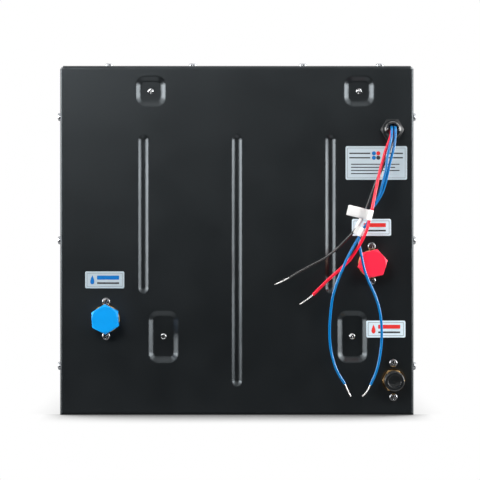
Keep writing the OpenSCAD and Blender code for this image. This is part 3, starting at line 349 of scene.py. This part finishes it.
# Name, colour, spread of the colour, scale of its patches, roughness, scale and height of the grain, metal
SCREW = varied("screw_zinc", (0.36, 0.37, 0.39), 0.12, 260.0, (0.18, 0.28), 1500.0, 0.00002, 1.0)
STEEL = varied("plain_steel", (0.5, 0.51, 0.52), 0.12, 40.0, (0.3, 0.45), 700.0, 0.00002, 1.0)
BRASS = varied("brass", (0.78, 0.5, 0.22), 0.14, 90.0, (0.2, 0.36), 900.0, 0.00002, 1.0)
COPPER = varied("copper", (0.76, 0.36, 0.2), 0.2, 35.0, (0.25, 0.42), 600.0, 0.00002, 1.0)
CAST = varied("cast_alloy", (0.4, 0.41, 0.42), 0.1, 60.0, (0.42, 0.58), 1100.0, 0.00009, 1.0)
BLUE_CAP = varied("blue_cap_plastic", (0.0, 0.285, 0.73), 0.05, 60.0, (0.34, 0.46), 1600.0, 0.00002,
                  Specular_IOR_Level=0.15)
RED_CAP = varied("red_cap_plastic", (0.9, 0.017, 0.056), 0.04, 60.0, (0.34, 0.46), 1600.0, 0.00002,
                 Specular_IOR_Level=0.3)
BLACK_PLASTIC = varied("black_plastic", (0.007, 0.008, 0.009), 0.15, 70.0, (0.14, 0.22), 1500.0,
                       0.00002, Specular_IOR_Level=0.7)
MATT_PLASTIC = varied("matt_black_plastic", (0.009, 0.01, 0.011), 0.15, 70.0, (0.4, 0.5), 1500.0,
                      0.00003, Specular_IOR_Level=0.3)
SATIN_PLASTIC = varied("satin_black_plastic", (0.0055, 0.007, 0.008), 0.12, 70.0, (0.26, 0.34), 1500.0,
                       0.00003)
# Painted shade: the screws by the ports are the same zinc as the rest, made darker
PORT_SCREW_SHADED = varied("port_screw_shaded_zinc", (0.2, 0.203, 0.21), 0.12, 260.0, (0.22, 0.32), 1500.0,
                    0.00002, 1.0)
# Painted highlight: the screws in the pockets are the same zinc as the rest, made paler
POCKET_SCREW_LIT = varied("pocket_screw_lit_zinc", (0.5, 0.51, 0.52), 0.1, 260.0, (0.12, 0.2), 1500.0,
                      0.00002, 1.0)
GREY_PLASTIC = varied("grey_plastic", (0.07, 0.078, 0.085), 0.1, 50.0, (0.4, 0.52), 1400.0, 0.00004)
WHITE_PLASTIC = varied("white_plastic", (0.68, 0.69, 0.69), 0.05, 50.0, (0.35, 0.5), 1400.0, 0.00003)
GREEN_COIL = varied("coil_resin", (0.03, 0.13, 0.075), 0.15, 60.0, (0.35, 0.5), 900.0, 0.00005)
RUBBER = varied("black_rubber", (0.009, 0.0095, 0.01), 0.2, 60.0, (0.62, 0.78), 1500.0, 0.00006)
CERAMIC = varied("white_ceramic", (0.72, 0.7, 0.66), 0.06, 60.0, (0.18, 0.3), 900.0, 0.00002)
RED_PVC = varied("red_wire_pvc", (0.86, 0.008, 0.034), 0.05, 90.0, (0.14, 0.2), 1300.0, 0.00001,
                 Specular_IOR_Level=0.5)
BLACK_PVC = varied("black_wire_pvc", (0.012, 0.0125, 0.013), 0.15, 90.0, (0.14, 0.2), 1300.0, 0.00001,
                   Specular_IOR_Level=0.7)
BLUE_PVC = varied("blue_wire_pvc", (0.0, 0.145, 0.4), 0.06, 90.0, (0.14, 0.2), 1300.0, 0.00001,
                  Specular_IOR_Level=0.5)
TINNED = varied("tinned_strands", (0.9, 0.88, 0.86), 0.08, 300.0, (0.25, 0.4), 2500.0, 0.00001, 1.0)
BLUE_INK = varied("blue_ink", (0.0, 0.135, 0.44), 0.08, 400.0, (0.45, 0.6), 3000.0, 0.000005,
                  Specular_IOR_Level=0.2)
RED_INK = varied("red_ink", (0.68, 0.028, 0.025), 0.08, 400.0, (0.45, 0.6), 3000.0, 0.000005,
                 Specular_IOR_Level=0.2)
# Grey that paints the shade of the pressed groove round each label
GROOVE_SHADE_GREY = varied("groove_shade_grey", (0.27, 0.31, 0.34), 0.12, 400.0, (0.45, 0.6), 3000.0, 0.000005)
DARK_INK = varied("dark_ink", (0.02, 0.022, 0.025), 0.15, 400.0, (0.45, 0.6), 3000.0, 0.000005)

FINISHES = {
    "black_coat": BLACK_COAT, "zinc_sheet": ZINC, "screw_steel": SCREW, "steel": STEEL, "brass": BRASS,
    "copper": COPPER, "blue_cap": BLUE_CAP, "red_cap": RED_CAP, "black_plastic": BLACK_PLASTIC,
    "grey_plastic": GREY_PLASTIC, "white_plastic": WHITE_PLASTIC, "green_coil": GREEN_COIL,
    "rubber": RUBBER, "foil": FOIL, "red_pvc": RED_PVC, "black_pvc": BLACK_PVC, "blue_pvc": BLUE_PVC,
    "tinned": TINNED, "paper": PAPER, "cast_alloy": CAST, "white_ceramic": CERAMIC,
}

# Some nodes differ in gloss from the rest of their slot, and some in colour: painted shade on the brass
# fittings behind the panel and on the screws by the ports, and a painted highlight on the screws in the
# pockets
PORT_BRASS = port_brass()
OWN_FINISHES = {
    "gland_body": MATT_PLASTIC, "gland_locknut": MATT_PLASTIC, "gas_cap": SATIN_PLASTIC,
    "cold_fitting": PORT_BRASS, "hot_fitting": PORT_BRASS, "gas_fitting": PORT_BRASS,
    "pocket_screws": POCKET_SCREW_LIT, "port_screws": PORT_SCREW_SHADED, "door_panel": DOOR_COAT,
}

# Each carried over solid takes its own finish or that of its slot in the record
for row in frame["record"]["subparts"]:
    finish = OWN_FINISHES.get(row["node"], FINISHES[row["material_slot"]])
    data = nodes[row["node"]].data
    for index in range(len(data.materials)):
        data.materials[index] = finish


# Camera, at the height of the middle of the picture and square to the rear panel

CAMERA_AWAY = 2.5
CAMERA_X, CAMERA_Z = 0.00285, 0.1583
camera_data = bpy.data.cameras.new("camera")
camera_data.sensor_width = 36.0
camera_data.lens = 207.25
camera = bpy.data.objects.new("camera", camera_data)
camera.location = (CAMERA_X, REAR_Y - CAMERA_AWAY, CAMERA_Z)
camera.rotation_euler = (math.radians(90), 0, 0)
bpy.context.scene.collection.objects.link(camera)
bpy.context.scene.camera = camera


# Wires: sideways place, distance in front of the rear panel and height, in millimetres

RED_ROUTE = [
    (139, 12, 256.4), (139, 18.5, 256.4), (138.5, 25, 254.6), (137.6, 30, 250.8), (135.8, 32.5, 246.2),
    (132.8, 33.5, 238.1), (130.3, 34.2, 229), (127.8, 35, 220.4), (124.7, 36.8, 206.7),
    (122, 39, 194.1), (120.4, 39.7, 185.5), (117.9, 39.7, 175.3), (115.4, 40.6, 166.6),
    (111.4, 40.8, 158), (106.8, 40.3, 149.9), (100.1, 39, 140.2), (92.4, 37.5, 132.6),
    (81.2, 35, 122.5), (67.9, 32, 109.3), (61.8, 31, 104.5), (56.2, 30.5, 100.8)]
BLACK_ROUTE = [
    (142, 12, 256.4), (142, 18, 256.4), (141.8, 23, 254.5), (140.8, 26.5, 250.2), (138.8, 28.6, 244.5),
    (135.2, 29.8, 235), (131.5, 30.6, 225.9), (124, 32, 209.2), (119.1, 32.5, 196), (115.6, 33, 186.9),
    (111.5, 33.5, 177.3), (106.8, 33.5, 168.6), (97.3, 33.5, 158.5), (89.2, 33, 150.4),
    (78.5, 32.5, 142.3), (68.9, 32, 137.2), (56.7, 31.5, 130.6), (46.6, 31, 124.6), (40.5, 30.5, 121.5),
    (33.9, 30, 118.5)]
LEFT_BLUE_ROUTE = [
    (139, 12, 259.6), (139, 20, 259.6), (138.8, 27.5, 258), (138.3, 33, 253.9), (137.6, 35.5, 248.3),
    (136, 36.2, 241.3), (134.4, 36.3, 233.1), (132.8, 36.4, 220.5), (130, 36.5, 209.3),
    (125.7, 36.6, 196.6), (120.2, 36.6, 185.4), (117.8, 36.6, 175.3), (113.1, 37.5, 168.7),
    (109.3, 39.2, 161.6), (104.3, 41, 153.4), (97.7, 42, 141.2), (94.4, 42, 133.1), (91, 41, 125.4),
    (87.2, 39, 114.3), (84.7, 37, 103.1), (82.9, 33.5, 81.9), (83.4, 31, 65.8), (86, 29.5, 51.7),
    (90, 28.5, 40.6), (96.6, 28, 29.5), (99.1, 28, 23.9), (102.2, 28, 18.4)]
RIGHT_BLUE_ROUTE = [
    (142, 12, 259.6), (142, 20, 259.6), (141.9, 27, 258.2), (141.7, 32, 254.4), (141.2, 34, 248.8),
    (140.2, 34.6, 241.2), (137, 34.8, 228.5), (134.2, 34.8, 215.8), (130.4, 34.2, 202.1),
    (124.5, 33.8, 191.5), (120.1, 33.9, 185.4), (117.6, 33.9, 175.2), (113, 34.4, 168.6),
    (109.1, 35.4, 161.5), (109.2, 36.2, 154.4), (110.5, 36.6, 147.8), (112.2, 36.6, 139.2),
    (114.5, 36.5, 129.6), (117.7, 36, 121.4), (124.1, 34, 107.3), (128.2, 31.5, 92.1),
    (129.6, 29.5, 73.4), (128, 28.5, 54.8), (124.7, 28, 40.6), (119.4, 28, 28.5), (116.1, 28, 22.4),
    (112.3, 28, 18.4)]


# Paper tags folded round the wires, in millimetres

PAPER_T = 0.18
HALF_GAP = 0.14
TAG_ROWS = 6
FLAG_POINTS = 20
LOOP_POINTS = 40
# Shares of a flag's length where it starts to dip behind the wires and over which it does
DIP_START = 0.55
DIP_LENGTH = 0.38
FLAG_CORNER = 0.9


def oval(half_w, half_l, start, end, count):
    """Part of a long round loop; angle 0 is on the flag's side, 90 in front."""
    flat = half_l - half_w
    points = []
    for k in range(count + 1):
        angle = math.radians(start + (end - start) * k / count)
        shift = flat * max(-1.0, min(1.0, 1.6 * math.sin(angle)))
        points.append((-half_w * math.cos(angle), shift + half_w * math.sin(angle)))
    return points


def tag(name, centre, turn, half_w, half_l, height, flag, curl):
    """Strip of paper that goes round the wires and back along itself as a flag."""
    flags = []
    for k in range(FLAG_POINTS):
        along = k / (FLAG_POINTS - 1)
        dip = max(0.0, min(1.0, (along - DIP_START) / DIP_LENGTH))
        bend = curl * (0.8 - 2.2 * dip * dip * (3 - 2 * dip))
        flags.append((-flag + (flag - half_w - 0.3) * along, bend))
    strip = [(x, out + HALF_GAP) for x, out in flags]
    strip += oval(half_w, half_l, 8, 352, LOOP_POINTS)
    strip += [(x, out - HALF_GAP) for x, out in reversed(flags)]
    bm = bmesh.new()
    spin = Matrix.Rotation(math.radians(turn), 3, "Y")
    middle = at(*centre)
    rings = []
    for x, out in strip:
        # Rounds the corners of a long flag
        trim = FLAG_CORNER * max(0.0, 1 - (x + flag) / FLAG_CORNER) if flag > half_w + 1 else 0.0
        tall = height - 2 * trim * (1 - math.sqrt(max(0.0, 1 - trim ** 2)))
        ring = []
        for i in range(TAG_ROWS + 1):
            up = (i / TAG_ROWS - 0.5) * tall
            ring.append(bm.verts.new(middle + spin @ Vector((x, -out, up)) * MM))
        rings.append(ring)
    for a, b in zip(rings, rings[1:]):
        for i in range(TAG_ROWS):
            bm.faces.new((a[i], a[i + 1], b[i + 1], b[i]))
    piece = new_piece(name, bm, PAPER, "casing")
    sheet = piece.modifiers.new("thickness", "SOLIDIFY")
    sheet.thickness = PAPER_T * MM
    sheet.offset = 0
    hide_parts("wire_tags")
    return piece


# Name, centre, turn in degrees, half width and half length of the loop, height, reach of the flag, its curl
TAGS = [
    tag("bundle_tag", (119, 36.9, 180.34), 13.5, 1.9, 4.6, 9.4, 21.0, 1.0),
    tag("black_lead_tag", (109.15, 33.5, 172.96), 28.9, 1.7, 1.7, 9.6, 2.2, 0.0),
    tag("blue_leads_tag", (110.9, 36.85, 165.25), 29.1, 1.85, 4.1, 8.4, 6.2, 0.1),
]


# The wires themselves

# A route's last points belong to the bare end, whose strands are in millimetres
TIP_POINTS = 2
ROUTE_STEPS = 6
STRANDS = 7
STRAND_R = 0.2
STRAND_AWAY = 0.42
TWIST_LENGTH = 9


def bare_strands(name, line):
    """Twisted tinned strands that stand out of the end of a wire."""
    bm = bmesh.new()
    rows = frames_along(line)
    total = line_length(line)
    for k in range(STRANDS):
        away = 0.0 if k == 0 else STRAND_AWAY * MM
        points = []
        done = 0.0
        for i, (point, (u, v)) in enumerate(zip(line, rows)):
            done += (point - line[i - 1]).length if i else 0.0
            angle = math.pi / 3 * k + 2 * math.pi * done / (TWIST_LENGTH * MM)
            loose = 1.0 + 0.35 * max(0.0, done / total - 0.75) * (1 + (k % 3))
            points.append(point + away * loose * (u * math.cos(angle) + v * math.sin(angle)))
        # Strands end at slightly different lengths
        cut = len(points) - (k * 2) % 3
        add_tube(bm, points[:cut], STRAND_R * MM, 6)
    piece = new_piece(name, bm, TINNED, "casing")
    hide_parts("bare_ends")
    return piece


def lead(name, node, route, diameter, material):
    """A free wire with its bare end."""
    line = smooth_route([at(*p) for p in route], ROUTE_STEPS)
    split = (len(route) - 1 - TIP_POINTS) * ROUTE_STEPS
    sheath = line[:split + 1]
    curve = bpy.data.curves.new(name, "CURVE")
    curve.dimensions = "3D"
    spline = curve.splines.new("POLY")
    spline.points.add(len(sheath) - 1)
    for point, place in zip(spline.points, sheath):
        point.co = (*place, 1)
    curve.bevel_depth = diameter * MM / 2
    curve.bevel_resolution = 4
    curve.use_fill_caps = True
    curve.materials.append(material)
    piece = bpy.data.objects.new(name, curve)
    bpy.context.scene.collection.objects.link(piece)
    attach(piece, "casing")
    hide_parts(node)
    tip = bare_strands(name + "_strands", line[split - 1:])


# Name, node that it replaces, route, diameter in millimetres and finish
lead("red_lead", "red_wire", RED_ROUTE, 2.8, RED_PVC)
lead("black_lead", "black_wire", BLACK_ROUTE, 2.4, BLACK_PVC)
lead("left_blue_lead", "left_blue_wire", LEFT_BLUE_ROUTE, 2.4, BLUE_PVC)
lead("right_blue_lead", "right_blue_wire", RIGHT_BLUE_ROUTE, 2.4, BLUE_PVC)


# Silver labels with plain marks

LABEL_T = 0.3
LABEL_CORNER = 1.4
INK_T = 0.02


def label_plate(name, node, material, x, z, width, height):
    """Label with a soft edge."""
    bm = bmesh.new()
    steps = ((0, 0), (0, 0.18), (0.05, 0.26), (0.16, LABEL_T))
    loops = []
    for inset, out in steps:
        outline = round_rect(width - 2 * inset, height - 2 * inset, LABEL_CORNER - inset * 0.6)
        loops.append([at(x + dx, out, z + dz) for dx, dz in outline])
    add_loft(bm, loops)
    piece = new_piece(name, bm, material, "casing", smooth=False)
    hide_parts(node)


def add_bar(bm, x, z, width, height, radius=None):
    """Printed bar or dot on a label."""
    outline = round_rect(width, height, min(width, height) / 2 if radius is None else radius)
    loops = []
    for inset, out in ((0, LABEL_T - 0.05), (0, LABEL_T + INK_T), (0.05, LABEL_T + INK_T * 1.5)):
        loops.append([at(x + dx * (1 - 2 * inset / width), out, z + dz * (1 - 2 * inset / height))
                      for dx, dz in outline])
    add_loft(bm, loops)


def add_drop(bm, x, z, size):
    """Printed drop."""
    outline = []
    for k in range(28):
        angle = 2 * math.pi * k / 28
        pull = math.sin(angle / 2) ** 1.5
        outline.append((size * 0.62 * math.sin(angle) * pull, size * math.cos(angle)))
    loops = []
    for share, out in ((1, LABEL_T - 0.05), (1, LABEL_T + INK_T), (0.97, LABEL_T + INK_T * 1.5)):
        loops.append([at(x + dx * share, out, z + dz * share) for dx, dz in outline])
    add_loft(bm, loops)


def add_border(bm, x, z, width, height):
    """Grey line just inside the edge of a label, which paints the shade of a pressed groove."""
    rings = []
    low, high = LABEL_T - 0.02, LABEL_T + INK_T
    for inset, out in ((1.5, low), (1.5, high), (1.95, high), (1.95, low)):
        outline = round_rect(width - 2 * inset, height - 2 * inset, 0.6)
        rings.append([at(x + dx, out, z + dz) for dx, dz in outline])
    add_loft(bm, rings + rings[:1], False, False)


def print_and_groove_shade(name, material, bars=(), drops=(), borders=()):
    """All marks of one colour on a label: printed bars and drops, and the grey line that paints the shade
    of a pressed groove.
    """
    bm = bmesh.new()
    for bar in bars:
        add_bar(bm, *bar)
    for drop in drops:
        add_drop(bm, *drop)
    for border in borders:
        add_border(bm, *border)
    bmesh.ops.remove_doubles(bm, verts=bm.verts, dist=0.000001)
    new_piece(name, bm, material, "casing", smooth=False)


# Middles and sizes of the labels, and the sizes of their marks, in millimetres
COLD_LABEL = (-119.5, 122.2)
HOT_LABEL = (121.8, 169.7)
GAS_LABEL = (134.8, 77.7)
WIRING_LABEL = (126.2, 228.0)
LABEL_SIZE = (35.4, 15.3)
LEGEND_SIZE = (55.6, 30.4)
BAR_X = 3
BAR_LENGTH = 20
DOT = 3.7
LEGEND_ROWS = (8.7, 4.7)
PORT_LABELS = (("cold", COLD_LABEL, BLUE_INK, GREY_FOIL), ("hot", HOT_LABEL, RED_INK, PALE_FOIL),
               ("gas", GAS_LABEL, RED_INK, PALE_FOIL))
for label_name, (label_x, label_z), ink, stock in PORT_LABELS:
    label_plate(label_name + "_label", "port_labels", stock, label_x, label_z, *LABEL_SIZE)
    print_and_groove_shade(label_name + "_label_mark", ink, [(label_x + BAR_X, label_z + 2.1, BAR_LENGTH, 3.6, 0.5)],
            [(label_x - 11.2, label_z + 0.2, 4.2)])
    print_and_groove_shade(label_name + "_label_line", DARK_INK, [(label_x + BAR_X, label_z - 2.9, BAR_LENGTH, 1.5, 0.3)])
    # Painted shade of the label's pressed groove, as a grey line
    print_and_groove_shade(label_name + "_label_border", GROOVE_SHADE_GREY, borders=[(label_x, label_z, *LABEL_SIZE)])
label_plate("wiring_legend", "wiring_label", FOIL, *WIRING_LABEL, *LEGEND_SIZE)
# Painted shade of the legend's pressed groove, as a grey line
print_and_groove_shade("wiring_legend_border", GROOVE_SHADE_GREY, borders=[(*WIRING_LABEL, *LEGEND_SIZE)])

wire_x, wire_z = WIRING_LABEL
print_and_groove_shade("wiring_legend_blue", BLUE_INK, [(wire_x - 2.2, wire_z + row_z, DOT, DOT) for row_z in LEGEND_ROWS])
print_and_groove_shade("wiring_legend_red", RED_INK, [(wire_x + 1.8, wire_z + LEGEND_ROWS[0], DOT, DOT)])
dark_bars = [(wire_x + 1.8, wire_z + LEGEND_ROWS[1], DOT, DOT)]
for row_z in LEGEND_ROWS:
    dark_bars.append((wire_x - 15, wire_z + row_z, 19, 1.2, 0.3))
    dark_bars.append((wire_x + 15.5, wire_z + row_z, 17, 1.2, 0.3))
for row_z, length in ((-1.2, 44), (-4.0, 40), (-6.8, 44), (-9.6, 26)):
    dark_bars.append((wire_x - 23 + length / 2, wire_z + row_z, length, 0.9, 0.3))
print_and_groove_shade("wiring_legend_lines", DARK_INK, dark_bars)


# Threads of the two water fittings, which show when a cap is screwed off

# Pitch, inner radius and height of the ridge, in millimetres
THREAD_PITCH = 1.814
THREAD_ROOT = 10.2
RIDGE = 0.48
THREAD_TURNS = 6.2
TURN_STEPS = 40
FADE_STEPS = 14


def add_thread(name):
    """Ridge that winds round a fitting, inside the clearance of its cap."""
    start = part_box(name + "_fitting")[0].y + 0.9 * MM
    cap_low, cap_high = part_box(name + "_cap")
    x = (cap_low.x + cap_high.x) / 2
    z = (cap_low.z + cap_high.z) / 2
    profile = ((-0.72, 0), (-0.24, RIDGE), (0.24, RIDGE), (0.72, 0))
    count = int(THREAD_TURNS * TURN_STEPS)
    loops = []
    for k in range(count + 1):
        angle = 2 * math.pi * k / TURN_STEPS
        fade = min(1.0, k / FADE_STEPS, (count - k) / FADE_STEPS)
        loop = []
        for along, rise in profile:
            reach = (THREAD_ROOT + rise * fade) * MM
            y = start + (THREAD_PITCH * k / TURN_STEPS + along) * MM
            loop.append(Vector((x + reach * math.cos(angle), y, z + reach * math.sin(angle))))
        loops.append(loop)
    bm = bmesh.new()
    add_loft(bm, loops)
    new_piece(name + "_thread", bm, BRASS, "casing", smooth=False)


add_thread("cold")
add_thread("hot")


# Floor, world and lamps

# The deep shadow ends at the corners of the rear panel
SHADOW_X = (0.157, 0.176)
SHADOW_Y = (REAR_Y - 0.001, REAR_Y + 0.012)


def make_floor():
    """Floor that the camera sees as white with a soft shadow, and that throws little light on the panel."""
    bm = bmesh.new()
    bmesh.ops.create_circle(bm, cap_ends=True, radius=6.0, segments=64)
    mesh = bpy.data.meshes.new("floor")
    bm.to_mesh(mesh)
    bm.free()
    f = Finish("floor_white")
    path = f.add("ShaderNodeLightPath")
    axes = f.add("ShaderNodeSeparateXYZ", Vector=f.place)
    # The shadow is deep in front of the rear panel and faint beside the casing
    deep = f.add("ShaderNodeAmbientOcclusion", Distance=0.15).outputs["AO"]
    faint = f.add("ShaderNodeAmbientOcclusion", Distance=0.05).outputs["AO"]
    sideways = f.tree.nodes.new("ShaderNodeMath")
    sideways.operation = "ABSOLUTE"
    f.link(axes.outputs["X"], sideways.inputs[0])
    behind = f.spread(axes.outputs["Y"], 0.0, 1.0, *SHADOW_Y)
    outside = f.spread(sideways.outputs["Value"], 0.0, 1.0, *SHADOW_X)
    tone = f.add("ShaderNodeMix", Factor=f.math("MAXIMUM", behind, outside))
    f.link(f.spread(deep, 0.12, 1.0, 0.45, 0.93), tone.inputs[NUMBER_FIRST])
    f.link(f.spread(faint, 0.84, 1.0, 0.5, 0.85), tone.inputs[NUMBER_SECOND])
    white = f.add("ShaderNodeEmission", Color=(1, 1, 1, 1), Strength=tone.outputs[NUMBER_RESULT])
    bounce = f.spread(axes.outputs["Y"], 0.01, 0.16, REAR_Y - 0.16, REAR_Y - 0.06)
    plain = f.add("ShaderNodeBsdfDiffuse", Color=bounce)
    ahead = f.spread(axes.outputs["Y"], 0.0, 1.0, REAR_Y, REAR_Y + 0.1)
    mirrors = f.math("MAXIMUM", path.outputs["Is Glossy Ray"], path.outputs["Is Transmission Ray"])
    seen = f.math("MAXIMUM", path.outputs["Is Camera Ray"], f.math("MULTIPLY", mirrors, ahead))
    mix = f.add("ShaderNodeMixShader", Fac=seen)
    f.link(plain.outputs["BSDF"], mix.inputs[1])
    f.link(white.outputs["Emission"], mix.inputs[2])
    f.link(mix.outputs["Shader"], f.tree.nodes["Material Output"].inputs["Surface"])
    mesh.materials.append(f.material)
    floor = bpy.data.objects.new("floor", mesh)
    bpy.context.scene.collection.objects.link(floor)


def make_world():
    """White where the camera looks, a grey studio with a dim side behind the camera for the rest."""
    world = bpy.data.worlds.new("studio")
    bpy.context.scene.world = world
    world.use_nodes = True
    tree = world.node_tree
    background = tree.nodes["Background"]
    path = tree.nodes.new("ShaderNodeLightPath")
    place = tree.nodes.new("ShaderNodeTexCoord")
    axes = tree.nodes.new("ShaderNodeSeparateXYZ")
    tree.links.new(place.outputs["Generated"], axes.inputs[0])

    def by_depth(start, end, low, high):
        node = tree.nodes.new("ShaderNodeMapRange")
        for key, value in zip(RANGE_SOCKETS, (start, end, low, high)):
            node.inputs[key].default_value = value
        tree.links.new(axes.outputs["Y"], node.inputs["Value"])
        return node.outputs["Result"]

    def math_of(operation, first, second):
        node = tree.nodes.new("ShaderNodeMath")
        node.operation = operation
        tree.links.new(first, node.inputs[0])
        tree.links.new(second, node.inputs[1])
        return node.outputs["Value"]

    mirrors = math_of("MAXIMUM", path.outputs["Is Glossy Ray"], path.outputs["Is Transmission Ray"])
    backdrop = math_of("MULTIPLY", mirrors, by_depth(-0.15, 0.3, 0.0, 1.0))
    seen = math_of("MAXIMUM", path.outputs["Is Camera Ray"], backdrop)
    strength = math_of("MAXIMUM", by_depth(-0.9, 0.3, 0.03, 0.8), seen)
    tree.links.new(strength, background.inputs["Strength"])
    background.inputs["Color"].default_value = (1, 1, 1, 1)


def lamp(name, place, target, width, height, power, spread=180):
    """Soft box with its power in watts and its spread in degrees."""
    data = bpy.data.lights.new(name, "AREA")
    data.spread = math.radians(spread)
    data.shape = "RECTANGLE"
    data.size = width
    data.size_y = height
    data.energy = power
    light = bpy.data.objects.new(name, data)
    light.visible_camera = False
    light.location = place
    light.rotation_euler = (Vector(target) - Vector(place)).to_track_quat("-Z", "Y").to_euler()
    bpy.context.scene.collection.objects.link(light)


make_floor()
make_world()
AIM = (0, REAR_Y, 0.16)
lamp("key", (-0.45, REAR_Y - 1.6, 0.75), AIM, 0.5, 0.5, 8.2)
lamp("second", (0.62, REAR_Y - 1.6, 0.8), AIM, 0.5, 0.5, 3.7)
for side in (-1, 1):
    lamp("side_box", (side * 1.2, REAR_Y - 0.3, 0.35), AIM, 0.5, 0.58, 16.6)
    lamp("high_box", (side * 1.0, REAR_Y - 0.34, 1.02), AIM, 0.4, 0.8, 6)
    lamp("edge_box", (side * 1.2, REAR_Y + 0.3, 0.4), AIM, 0.55, 0.6, 4)
# A weak gridded box at the foot of the panel, which shines up into its pressings
lamp("foot_box", (0.01, REAR_Y - 0.135, 0.004), (0.01, REAR_Y - 0.135, 1), 0.42, 0.25, 0.2, 130)
lamp("rim_box", (0, REAR_Y - 0.15, 1.9), (0, REAR_Y, 0.2), 1.4, 0.8, 6)
lamp("sky_box", (0, REAR_Y - 1.15, 1.25), AIM, 0.5, 1.1, 1.1)
lamp("top_box", (0, 0.3, 2.4), (0, 0.1, 0.2), 2.6, 2.2, 9)
lamp("front_box", (0.9, 2.2, 1.5), (0, 0.2, 0.16), 2.0, 1.6, 12)

bpy.context.scene.view_settings.view_transform = "Standard"
